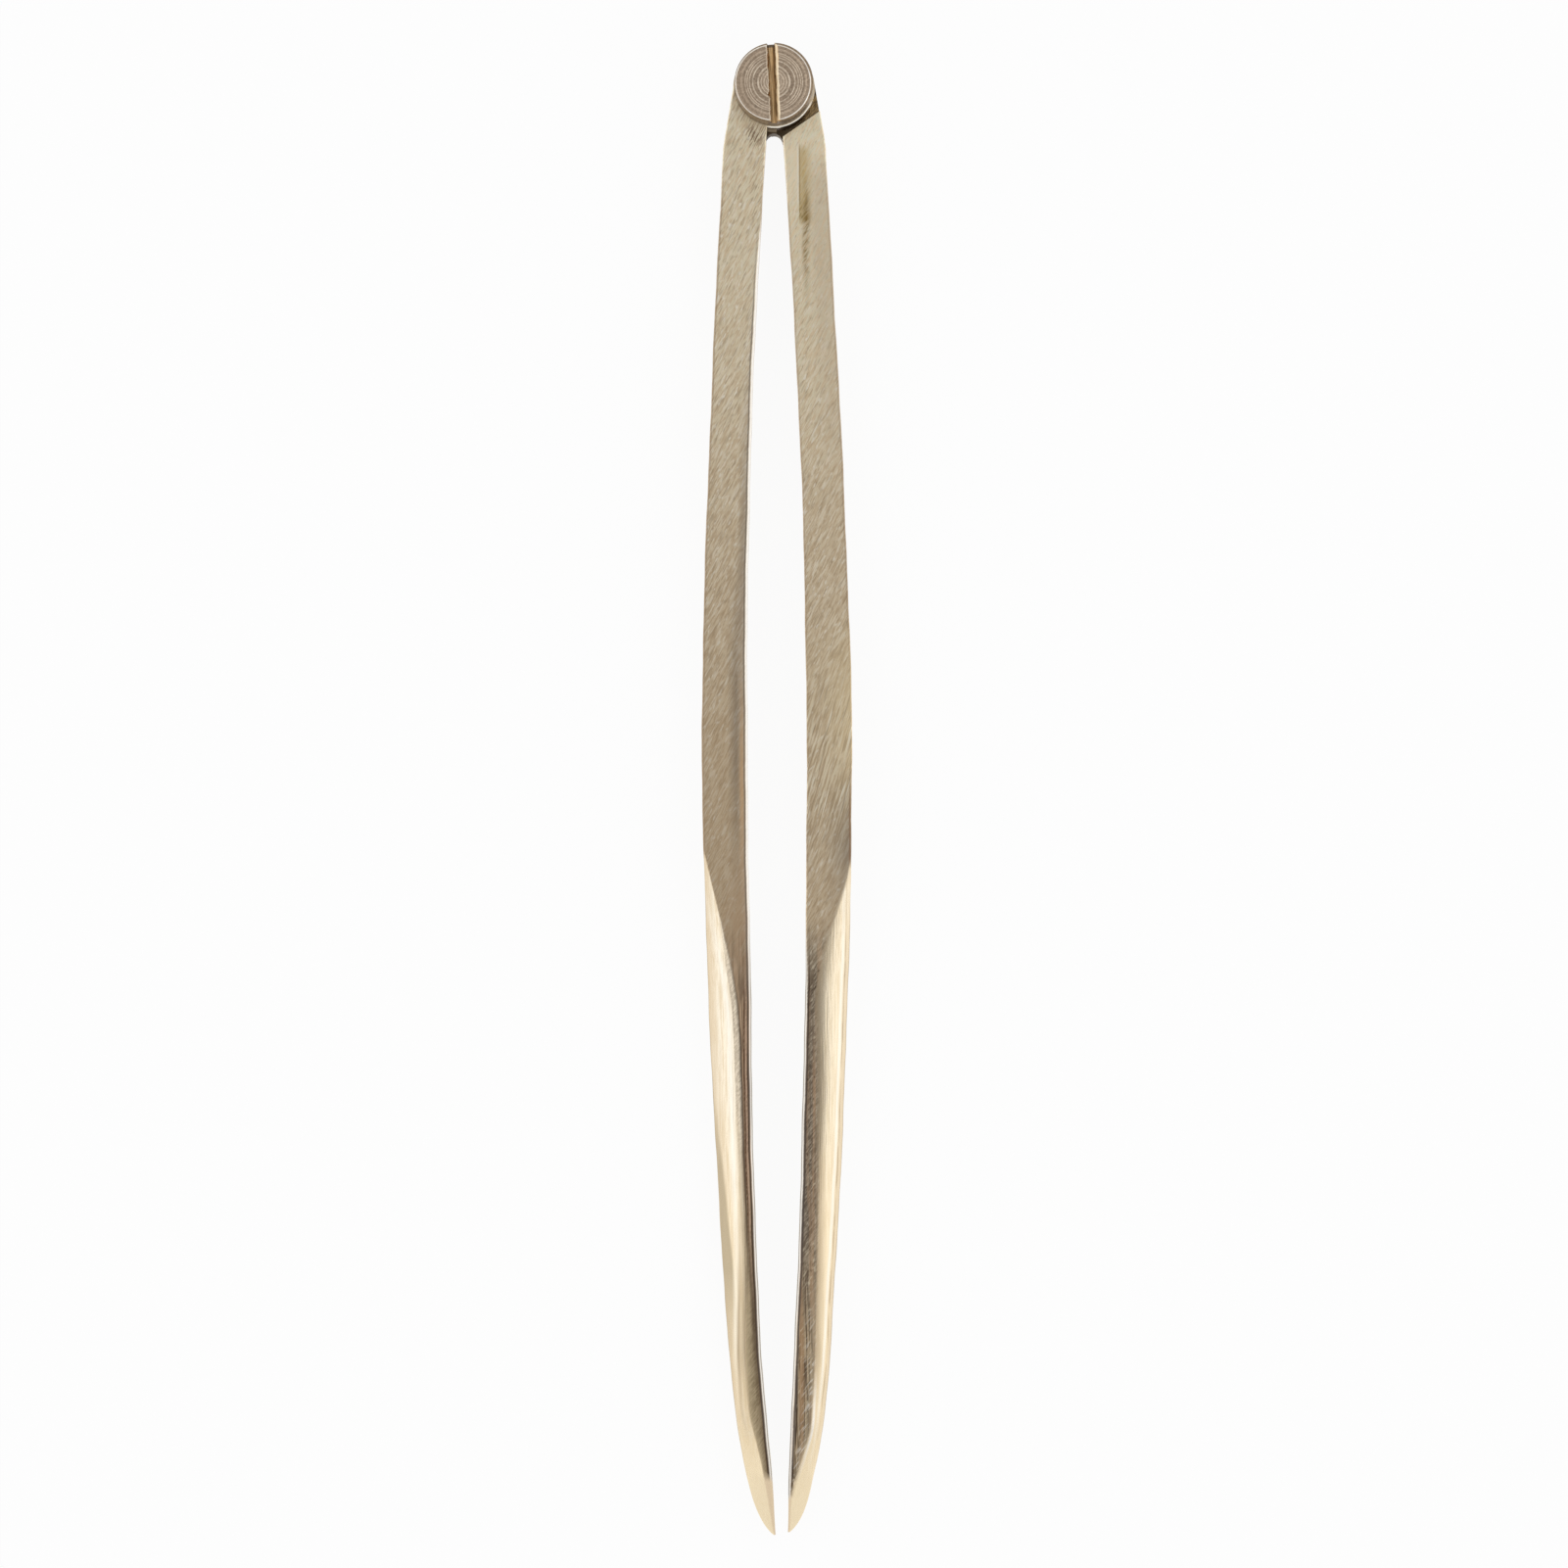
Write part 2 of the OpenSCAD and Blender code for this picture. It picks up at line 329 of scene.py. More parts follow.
def lathe(name, profile, steps):
    """A closed solid turned about Z from [radius, height] points that start and end on the axis."""
    rings = profile[1:-1]
    vertices = [(0, 0, profile[0][1])]
    for r, z in rings:
        vertices += [
            (r * math.cos(math.tau * i / steps), r * math.sin(math.tau * i / steps), z) for i in range(steps)
        ]
    vertices.append((0, 0, profile[-1][1]))
    last = len(vertices) - 1
    faces = []
    for i in range(steps):
        j = (i + 1) % steps
        faces.append((0, 1 + j, 1 + i))
        for k in range(len(rings) - 1):
            a, b = 1 + k * steps, 1 + (k + 1) * steps
            faces.append((a + i, a + j, b + j, b + i))
        top = 1 + (len(rings) - 1) * steps
        faces.append((top + i, top + j, last))
    return new_piece(name, vertices, faces)


def loft(name, rings):
    """A closed solid through cross-sections that have the same count of points."""
    size = len(rings[0])
    last = (len(rings) - 1) * size
    faces = []
    for first in range(0, last, size):
        for i in range(size):
            a, b = first + i, first + (i + 1) % size
            faces.append((a, a + size, b + size, b))
    faces += [tuple(range(size)), tuple(reversed(range(last, last + size)))]
    return new_piece(name, [point for ring in rings for point in ring], faces)


def prism(name, outline, low, high):
    """An outline in the plane of the legs, counter-clockwise, pulled up from low to high."""
    n = len(outline)
    vertices = [(x, y, low) for x, y in outline] + [(x, y, high) for x, y in outline]
    faces = [tuple(reversed(range(n))), tuple(range(n, 2 * n))]
    faces += [(i, (i + 1) % n, n + (i + 1) % n, n + i) for i in range(n)]
    return new_piece(name, vertices, faces)


def combined(piece, tool, operation):
    """Joins the tool to the piece or cuts it away, and removes the tool."""
    step = piece.modifiers.new(operation.lower(), "BOOLEAN")
    step.operation = operation
    step.object = tool
    step.solver = "EXACT"
    graph = bpy.context.evaluated_depsgraph_get()
    result = bpy.data.meshes.new_from_object(piece.evaluated_get(graph))
    piece.modifiers.clear()
    old = piece.data
    piece.data = result
    bpy.data.meshes.remove(old)
    bpy.data.objects.remove(tool)


def shade(piece, angle):
    """Smooth faces, with edges sharper than the angle kept crisp."""
    piece.data.polygons.foreach_set("use_smooth", [True] * len(piece.data.polygons))
    piece.data.set_sharp_from_angle(angle=math.radians(angle))


def eased_profile(corners, ease, steps=6):
    """A turned profile with its inner corners rounded; the first and last points stay on the axis."""
    points = [Vector(corners[0])]
    for before, corner, after in zip(corners, corners[1:], corners[2:]):
        before, corner, after = Vector(before), Vector(corner), Vector(after)
        cut = min(ease, (before - corner).length * 0.4, (after - corner).length * 0.4)
        start = corner + (before - corner).normalized() * cut
        end = corner + (after - corner).normalized() * cut
        points.append(start)
        points += curve_points(start, corner, end, steps)
    return points + [Vector(corners[-1])]


# Legs


def leg_bar(name, hand):
    """The bar, blade and point of a leg, lofted through its cross-sections."""
    rings = []
    for d in STATIONS:
        half = half_section(d, hand)
        ring = half + [Vector((p.x, -p.y)) for p in reversed(half[1:-1])]
        inset = 0.98 if d == TOUCH_AT else 1.0
        shorter = hand["tip"][1] * smooth(HEEL_AT, LEG_LENGTH, d)
        rings.append([(-p.x * inset, shorter - d, p.y) for p in ring])
    return loft(name, rings)


def leg_eye(name):
    corners = [(0, HALF_WASHER), (EYE_R, HALF_WASHER), (EYE_R, HALF_THICKNESS), (0, HALF_THICKNESS)]
    eye = lathe(name, eased_profile(corners, EYE_EASE), EYE_SIDES)
    eye.data.transform(Matrix.Translation((0, -EYE_DROP * MM, 0)))
    return eye


def crotch_web(name, arch_at):
    """Fills the corner between the eye and the inner edge up to the round arch of the crotch."""
    radius, steps = ARCH_WIDER * inner_edge(arch_at), 16
    angles = [mixed(math.pi, math.acos(ARCH_PAST), i / steps) for i in range(steps + 1)]
    arch = [(radius * math.cos(a), radius * math.sin(a) - arch_at) for a in angles]
    left, right, upper = -radius - 1.5, arch[-1][0], -EYE_R / 2
    outline = [(left, -arch_at)] + arch + [(right, upper), (left, upper)]
    return prism(name, outline, HALF_WASHER, HALF_THICKNESS - ARCH_STEP)


def lap_cutter(name):
    """Block that clears the lap behind the eye as far as the slanted shoulder."""
    reach = 4 * EYE_R
    corners = [(-reach, -SHOULDER_AT), (reach, -SHOULDER_AT), (reach, reach), (-reach, reach)]
    turn = Matrix.Rotation(-SHOULDER_ANGLE, 2)
    return prism(name, [turn @ Vector(c) for c in corners], -LEG_THICKNESS, HALF_WASHER)


def filed_leg(side, hole_r):
    """One whole leg. The right leg is the left one's shape turned over about the long axis."""
    hand = LEG_HANDS[side]
    piece = leg_bar(side + "_leg_filed", hand)
    combined(piece, leg_eye("eye"), "UNION")
    combined(piece, crotch_web("web", hand["arch"]), "UNION")
    combined(piece, lap_cutter("lap"), "DIFFERENCE")
    hole = [(0, -LEG_THICKNESS), (hole_r, -LEG_THICKNESS), (hole_r, LEG_THICKNESS), (0, LEG_THICKNESS)]
    combined(piece, lathe("hole", hole, HOLE_SIDES), "DIFFERENCE")
    mark_grind(piece.data, hand)
    mark_faces(piece.data, "lap", in_lap)
    mark_faces(piece.data, "eye_rim", on_eye_rim)
    turn = Matrix.Rotation(math.pi, 4, "Y") if side == "right" else Matrix.Identity(4)
    piece.data.transform(Matrix.Translation((0, 0, HALF_THICKNESS * MM)) @ turn)
    shade(piece, 20)
    return piece


# A face closer than this to a surface lies on it
NEAR = 0.02
# Share of the grease colour and painted shade that the crotch's ledge takes
LEDGE_GREASE_AND_SHADE = 0.6

# Marks of a point on the flat of the joint: away from the edges and not ground
JOINT_FACE = (2.0, -2.0, 2.0, 0.0, 0.0, 0.0)


def mark_grind(mesh, hand):
    """Stores where each point lies on the leg, in millimetres, for the finish: from the inner edge, the ridge
    of the bevel and the outer edge, and below the flat; also how far the bevel is ground there, and whether
    the point is on the rounded inner edge."""
    names = ("from_inner", "from_ridge", "from_outer", "below", "ground", "edge")
    rows = []
    for vertex in mesh.vertices:
        x, d, z = -vertex.co.x / MM, -vertex.co.y / MM, abs(vertex.co.z) / MM
        if d < NECK_AT + 1:
            on_face = HALF_THICKNESS - z < 0.05
            rows.append(JOINT_FACE if on_face else (0.0, -2.0, 0.0, HALF_THICKNESS - z, 0.0, 0.0))
            continue
        inner, outer, top, ease, g, ridge, _ = leg_layout(min(d, LEG_LENGTH), hand)
        edge = ramp(1.05, 0.8, (x - inner) / ease) * smooth(BAR_EASE, BAR_EASE + 0.1, ease)
        rows.append((x - inner, x - ridge.x, outer - x, top - z, g, edge))
    for name, values in zip(names, zip(*rows)):
        mesh.attributes.new(name, "FLOAT", "POINT").data.foreach_set("value", values)


def mark_faces(mesh, name, test):
    """Stores how far each face passes a test of its middle (in millimetres) and normal, from 0 to 1."""
    passed = [float(test(face.center / MM, face.normal)) for face in mesh.polygons]
    mesh.attributes.new(name, "FLOAT", "FACE").data.foreach_set("value", passed)


def in_lap(middle, normal):
    """The lap floor, the shoulder and the walls of the crotch, which take a dark grease colour with painted
    shade; less on its ledge.
    """
    if -middle.y > SHOULDER_AT + 5:
        return False
    floor = normal.z < -0.9 and abs(middle.z - HALF_WASHER) < NEAR
    turned = Matrix.Rotation(SHOULDER_ANGLE, 2) @ middle.xy
    shoulder = abs(turned.y + SHOULDER_AT) < NEAR and middle.z < HALF_WASHER
    under_eye = middle.xy.length < EYE_R + 1.5 and middle.y < -3.5
    side = abs(normal.z) < 0.3 and middle.z > HALF_WASHER and under_eye
    ledge = normal.z > 0.9 and abs(middle.z - HALF_THICKNESS + ARCH_STEP) < NEAR
    return 1.0 if floor or shoulder or side else LEDGE_GREASE_AND_SHADE * ledge


def on_eye_rim(middle, normal):
    """The round of the eye's front edge, painted with shade and, on its right part, with a highlight."""
    radius = (middle.xy + Vector((0, EYE_DROP))).length
    return 0.25 < normal.z < 0.98 and EYE_R - 0.4 < radius < EYE_R + NEAR


# Pivot screw

SLOT_WIDTH, SLOT_DEPTH, SLOT_TURN = 1.3, 1.5, math.radians(2.3)
SLOT_LIP, SLOT_FLOOR, SLOT_TAPER = 0.14, (-0.52, 0.22), 0.012
WORN_LIP, WORN_DEPTH = 0.36, 0.26
HEAD_CHAMFER, END_CHAMFER, HEAD_EASE = 0.25, 0.3, 0.1
FACE_SHIFT = (-0.11, -0.08)
BURR_DEPTH, BURR_Y, BURR_LENGTH = 0.16, -1.5, 0.22
RIM_Z = HEAD_TOP - 0.085
SEAT_Z = LEG_THICKNESS
STEP_Z = HALF_THICKNESS - HALF_WASHER + 0.1


def saw_wander(y, phase):
    """Small wander of a hand-sawn slot wall."""
    return 0.03 * math.sin(1.9 * y + phase) + 0.02 * math.sin(5.3 * y + 2 * phase)


def burr_notch(y):
    """A small chip in the left wall of the slot."""
    return BURR_DEPTH * math.exp(-(((y - BURR_Y) / BURR_LENGTH) ** 2))


def slot_cutter(name):
    """The sawn slot: narrower below, with its left lip broken and its right one worn to a wide slope."""
    reach, steps = 2 * HEAD_R, 140
    low, lip_z = HEAD_TOP - SLOT_DEPTH, HEAD_TOP - SLOT_LIP
    flare, high = 3 * SLOT_LIP, HEAD_TOP + 2
    turn = Matrix.Rotation(SLOT_TURN, 2)
    rings = []
    for i in range(steps + 1):
        y = mixed(-reach, reach, i / steps)
        half = SLOT_WIDTH / 2 + SLOT_TAPER * y
        left = -half + saw_wander(y, 0.0) - burr_notch(y)
        right = half + saw_wander(y, 2.0)
        section = [
            (SLOT_FLOOR[0] + saw_wander(y, 1.0), low),
            (SLOT_FLOOR[1] + saw_wander(y, 3.0), low),
            (right - WORN_LIP, HEAD_TOP - WORN_DEPTH),
            (right + WORN_LIP, HEAD_TOP + WORN_DEPTH),
            (right + WORN_LIP, high),
            (left - flare, high),
            (left - flare, lip_z + flare),
            (left, lip_z),
        ]
        rings.append([(*(turn @ Vector((x, y))), z) for x, z in section])
    return loft(name, rings)


def pivot_screw():
    corners = [
        (0, SCREW_END),
        (THREAD_R - END_CHAMFER, SCREW_END),
        (THREAD_R, SCREW_END + END_CHAMFER),
        (THREAD_R, STEP_Z),
        (JOURNAL_R, STEP_Z),
        (JOURNAL_R, SEAT_Z),
        (HEAD_R, SEAT_Z),
        (HEAD_R, HEAD_TOP - HEAD_CHAMFER),
        (HEAD_R - HEAD_CHAMFER, HEAD_TOP),
        (0, HEAD_TOP),
    ]
    piece = lathe("pivot_screw_turned", eased_profile(corners, HEAD_EASE), HEAD_SIDES)
    for vertex in piece.data.vertices:
        share = smooth(HEAD_TOP - HEAD_CHAMFER - HEAD_EASE, HEAD_TOP, vertex.co.z / MM)
        vertex.co.xy += Vector(FACE_SHIFT) * (MM * share)
    combined(piece, slot_cutter("slot"), "DIFFERENCE")
    mark_faces(piece.data, "sawn", in_slot)
    mark_faces(piece.data, "worn_lip", on_worn_lip)
    mark_faces(piece.data, "rim", on_rim)
    shade(piece, 28)
    return piece


def in_slot(middle, normal):
    """The floor and walls of the slot."""
    turned = Matrix.Rotation(-SLOT_TURN, 2) @ middle.xy
    beside = abs(turned.x) < SLOT_WIDTH / 2 + 0.1 and middle.xy.length < HEAD_R - NEAR
    return beside and HEAD_TOP - SLOT_DEPTH - 0.01 < middle.z < RIM_Z


def on_worn_lip(middle, normal):
    """The wide slope of the slot's right lip."""
    turned = Matrix.Rotation(-SLOT_TURN, 2) @ middle.xy
    beside = 0.2 < turned.x < SLOT_WIDTH / 2 + 0.15
    return beside and middle.z > HEAD_TOP - WORN_DEPTH and -0.9 < normal.x < -0.3


def on_rim(middle, normal):
    """The rounded ring between the face of the head and its chamfer, and the lips of the slot."""
    return middle.z > RIM_Z and 0.3 < normal.z < 0.995 and not on_worn_lip(middle, normal)


# Material tools. A helper adds its nodes to the tree that holds the first socket it is given.


def is_socket(value):
    return isinstance(value, bpy.types.NodeSocket)


def tree_of(*values):
    return next(value for value in values if is_socket(value)).id_data


def give(socket, value):
    """Feeds an input from another node's output, or sets it to a plain value."""
    if is_socket(value):
        socket.id_data.links.new(value, socket)
    else:
        socket.default_value = value


def add(tree, kind, inputs=None, **settings):
    """Adds a shader node; an input is a plain value or another node's output."""
    made = tree.nodes.new("ShaderNode" + kind)
    for key, value in settings.items():
        setattr(made, key, value)
    for socket, value in (inputs or {}).items():
        give(made.inputs[socket], value)
    return made


def maths(operation, a, b=0.0):
    return add(tree_of(a, b), "Math", {0: a, 1: b}, operation=operation).outputs[0]


def larger(a, b):
    return maths("MAXIMUM", a, b)


def inverse(value):
    return maths("SUBTRACT", 1.0, value)


def product(*factors):
    """Several values multiplied together."""
    result = factors[0]
    for factor in factors[1:]:
        result = maths("MULTIPLY", result, factor)
    return result


def mixed_value(share, a, b):
    return add(tree_of(share, a, b), "Mix", {"Factor": share, 2: a, 3: b}).outputs[0]


def between(value, low, high, out_low=0.0, out_high=1.0):
    """Maps a value from low..high to out_low..out_high, held at the ends."""
    sockets = {"Value": value, "From Min": low, "From Max": high, "To Min": out_low, "To Max": out_high}
    return add(tree_of(value), "MapRange", sockets, clamp=True).outputs[0]


def band(value, low, high, soft):
    """1 from low to high, fading to 0 over the soft width on both sides."""
    return product(between(value, low - soft, low + soft), between(value, high - soft, high + soft, 1.0, 0.0))


def blend(share, a, b):
    """Mix of two colours."""
    made = add(tree_of(share, a, b), "Mix", {"Factor": share}, data_type="RGBA")
    for socket, value in ((made.inputs[6], a), (made.inputs[7], b)):
        give(socket, value if is_socket(value) else (*value, 1.0))
    return made.outputs[2]


def toned(value, low, high, tones):
    """A dark and a light tone, mixed by where a value lies between low and high."""
    return blend(between(value, low, high), *tones)


def coats(colour, *layers):
    """The colour with tints laid over it in turn, each where all of its factors are high."""
    for tint, *factors in layers:
        colour = blend(product(*factors), colour, tint)
    return colour


def noise(vector, scale, detail, roughness=0.5, distortion=0.0):
    inputs = {"Scale": scale, "Detail": detail, "Roughness": roughness, "Distortion": distortion}
    return add(tree_of(vector), "TexNoise", {"Vector": vector, **inputs}).outputs["Fac"]


def from_axis(x, y):
    """Distance from the pivot's axis."""
    across = add(tree_of(x), "CombineXYZ", {"X": x, "Y": y}).outputs[0]
    return add(tree_of(x), "VectorMath", {0: across}, operation="LENGTH").outputs["Value"]


MARK_DEPTH = 0.04


def bumped(height):
    """Normal of a surface with fine tool marks."""
    inputs = {"Strength": 0.5, "Distance": MARK_DEPTH * MM, "Height": height}
    return add(tree_of(height), "Bump", inputs).outputs[0]


def attribute(tree, name):
    return add(tree, "Attribute", attribute_name=name).outputs["Fac"]


def new_material(name):
    """A metal material: its tree, Principled node and object coordinates."""
    material = bpy.data.materials.new(name)
    material.use_nodes = True
    tree = material.node_tree
    shader = tree.nodes["Principled BSDF"]
    shader.inputs["Metallic"].default_value = 1.0
    return material, tree, shader, tree.nodes.new("ShaderNodeTexCoord").outputs["Object"]


def node_group(name, inputs, outputs):
    """An empty shader group, its inner input node and its output node."""
    tree = bpy.data.node_groups.new(name, "ShaderNodeTree")
    for label, kind in inputs:
        tree.interface.new_socket(label, in_out="INPUT", socket_type="NodeSocket" + kind)
    for label, kind in outputs:
        tree.interface.new_socket(label, in_out="OUTPUT", socket_type="NodeSocket" + kind)
    return tree, tree.nodes.new("NodeGroupInput").outputs, tree.nodes.new("NodeGroupOutput").inputs


def group_node(group, **inputs):
    return add(tree_of(*inputs.values()), "Group", inputs, node_tree=group).outputs


def brush_strokes_group():
    """Strokes of a file or abrasive along one direction, in the plane of the legs: fine strokes, short bright
    flecks and dark ticks between them, and the fewer deep scores, which catch the light or hold dirt."""
    tree, given, out = node_group(
        "brush strokes",
        [("Vector", "Vector"), ("Angle", "Float"), ("Fineness", "Float"), ("Stretch", "Float")],
        [(label, "Float") for label in ("Strokes", "Flecks", "Ticks", "Bright Scores", "Dark Scores")],
    )
    turn = {"Vector": given["Vector"], "Angle": given["Angle"]}
    turned = add(tree, "VectorRotate", turn, rotation_type="Z_AXIS").outputs[0]
    fineness = given["Fineness"]
    along = maths("DIVIDE", fineness, given["Stretch"])
    scale = add(tree, "CombineXYZ", {"X": along, "Y": fineness, "Z": fineness}).outputs[0]
    stroked = add(tree, "VectorMath", {0: turned, 1: scale}, operation="MULTIPLY").outputs[0]
    shifted = add(tree, "VectorMath", {0: stroked, 1: (7.3, 3.1, 5.7)}, operation="ADD").outputs[0]
    scores, dirt = noise(stroked, 0.7, 1.0), noise(shifted, 0.8, 1.0)
    give(out["Strokes"], between(noise(stroked, 1.0, 2.0, 0.55, 0.15), 0.28, 0.72))
    give(out["Flecks"], between(scores, 0.55, 0.64))
    give(out["Ticks"], between(dirt, 0.56, 0.66))
    give(out["Bright Scores"], between(scores, 0.62, 0.74))
    give(out["Dark Scores"], between(dirt, 0.62, 0.74))
    return tree


def tarnish_group():
    """Soft cloudy patches of tarnish and finger marks."""
    tree, given, out = node_group(
        "tarnish", [("Vector", "Vector"), ("Scale", "Float"), ("Cover", "Float")], [("Mask", "Float")]
    )
    low = maths("SUBTRACT", 0.75, given["Cover"])
    cloud = noise(given["Vector"], given["Scale"], 5.0, 0.6)
    give(out["Mask"], between(cloud, low, maths("ADD", low, 0.25)))
    return tree


brush_strokes = brush_strokes_group()
tarnish = tarnish_group()

PALE_BRASS = (1.0, 0.86, 0.63)
MID_BRASS = (0.75, 0.61, 0.43)
DULL_BRASS = (0.45, 0.35, 0.23)
TAN_BRASS = (0.80, 0.66, 0.47)
SCORED_TAN = (0.66, 0.53, 0.365)
# Painted shade on the round of the eye's front edge
EYE_RIM_SHADE = (0.27, 0.195, 0.125)
GLINT = (1.0, 0.93, 0.78)
BROWN_TARNISH = (0.30, 0.205, 0.135)
HEAT_TINT = (0.60, 0.40, 0.22)
YELLOW_STAIN = (0.66, 0.495, 0.245)
# Near-black brown: grease and dirt, and also painted shade in the lap and the slot
GREASE_AND_SHADE_DARK = (0.075, 0.048, 0.028)
GOLDEN_LAP = (0.46, 0.32, 0.15)

# Dark and light tones of the finishes
FLAT_TONES = (0.61, 0.475, 0.317), (0.855, 0.712, 0.505)
PALE_FLAT_TONES = (0.97, 0.80, 0.555), (1.0, 0.945, 0.71)
RIGHT_STRIP_TONES = (0.19, 0.15, 0.108), (0.55, 0.455, 0.34)
RIGHT_LOW_TONES = (0.14, 0.092, 0.053), (0.60, 0.455, 0.29)
LEFT_STRIP_TONES = (0.20, 0.135, 0.09), (0.64, 0.45, 0.295)
LEFT_LOW_TONES = (0.33, 0.255, 0.15), (0.54, 0.435, 0.275)
BEVEL_TONES = (0.835, 0.70, 0.505), (0.96, 0.85, 0.675)
RIDGE_TONES = (0.45, 0.38, 0.29), (0.68, 0.585, 0.455)
WALL_TONES = (0.49, 0.378, 0.235), (0.65, 0.515, 0.335)

# Where the wear is, in millimetres across from the middle line and down from the pivot
SCRIBED_X, SCRIBED_D = 3.1, (7.6, 15.0)
STAIN_X, STAIN_D = (3.8, 4.9), (7.8, 17.3)
TRAIL_X, TRAIL_D = (3.7, 4.35), (13.5, 26.0)
SCUFF_PLACE = (-2.5, -6.3, LEG_THICKNESS)


class LegSurface:
    """Node values that the parts of a leg's finish share: places on the leg, strokes and clouds."""

    def __init__(self, tree, place, side):
        self.tree, self.place, self.right = tree, place, side == "right"
        names = ("from_inner", "from_ridge", "from_outer", "below", "ground", "edge", "lap", "eye_rim")
        for name in names:
            setattr(self, name, attribute(tree, name))
        self.place_mm = add(tree, "VectorMath", {0: place, "Scale": 1 / MM}, operation="SCALE").outputs[0]
        self.x, self.y, z = add(tree, "SeparateXYZ", {0: self.place_mm}).outputs
        self.down = maths("MULTIPLY", self.y, -1.0)
        self.front = between(z, HALF_THICKNESS - 0.5, HALF_THICKNESS + 0.5)
        point_at = LEG_LENGTH - LEG_HANDS[side]["point_from"]
        slanted = maths("ADD", self.down, maths("MULTIPLY", self.from_inner, 0.7))
        self.point = between(slanted, point_at - 0.1, point_at + 0.9)
        self.bright_end = between(self.down, point_at - 7, point_at + 1)
        self.blade = between(self.ground, 0.0, 0.04)
        soft = 0.3 if self.right else 0.08
        past_ridge = between(self.from_ridge, -soft, soft)
        bevel = product(past_ridge, larger(self.blade, between(self.below, 0.15, 0.4)))
        self.inner_side = product(between(self.below, 0.3, 0.6), between(self.from_ridge, -0.1, -0.3))
        outer_side = product(between(self.below, 0.5, 0.8), between(self.from_outer, 0.1, 0.03))
        self.walls = larger(self.inner_side, outer_side)
        self.polished = larger(larger(bevel, self.point), self.walls)
        self.strip = product(between(self.ground, 0.45, 0.97), inverse(self.polished))
        self.fine = self.strokes(-66, 4200.0, 12.0)
        self.medium = self.strokes(-63, 5400.0, 7.5)
        self.crossing = self.strokes(-54, 5400.0, 6.0)
        self.steep = self.strokes(-74, 4200.0, 16.0)
        self.along = self.strokes(-90, 4600.0, 26.0)
        self.bands = self.strokes(-90, 1500.0, 30.0)
        self.specks = self.strokes(-64, 4600.0, 3.2)
        self.cloud = self.cover(130.0, 0.3)
        self.broad = self.cover(38.0, 0.3)

    def strokes(self, degrees, fineness, stretch):
        angle = math.radians(degrees)
        return group_node(brush_strokes, Vector=self.place, Angle=angle, Fineness=fineness, Stretch=stretch)

    def cover(self, scale, share):
        return group_node(tarnish, Vector=self.place, Scale=scale, Cover=share)["Mask"]


def flat_strokes(leg):
    """Height and tone of the crossing sets of strokes on the flats; the right leg's are steeper low down."""
    strokes = leg.medium["Strokes"]
    if leg.right:
        strokes = mixed_value(band(leg.down, 75, 97, 5.0), strokes, leg.steep["Strokes"])
    strokes = mixed_value(0.2, strokes, leg.fine["Strokes"])
    return mixed_value(0.2, strokes, leg.crossing["Strokes"])


def flat_colour(leg, strokes):
    """Flats of the bar: strokes, bright specks, clouds, browned lower down, and each leg's own wear."""
    down = leg.down
    lighter, dirt = (1.0, between(down, 10, 50, 0.15, 0.4)) if leg.right else (0.56, 0.4)
    pale = toned(strokes, 0.36, 0.64, PALE_FLAT_TONES)
    bar_edge = larger(between(leg.from_inner, 0.08, 0.24, 1.0, 0.0), between(leg.from_ridge, -0.2, -0.04))
    colour = coats(
        toned(strokes, 0.36, 0.64, FLAT_TONES),
        (pale, between(down, 8, 64, lighter, 0.0)),
        ((1.0, 0.90, 0.72), leg.medium["Flecks"], 0.6),
        ((0.36, 0.262, 0.16), leg.medium["Ticks"], dirt),
        (GLINT, leg.specks["Bright Scores"], 0.8),
        ((0.27, 0.20, 0.13), leg.specks["Dark Scores"], 0.3),
        (DULL_BRASS, leg.cloud, 0.08),
        (HEAT_TINT, leg.broad, 0.12),
        (BROWN_TARNISH, bar_edge, inverse(leg.blade), between(down, 9, 15, 0.0, 0.6)),
    )
    wear = right_wear if leg.right else left_wear
    return blend(leg.front, colour, wear(leg, colour))


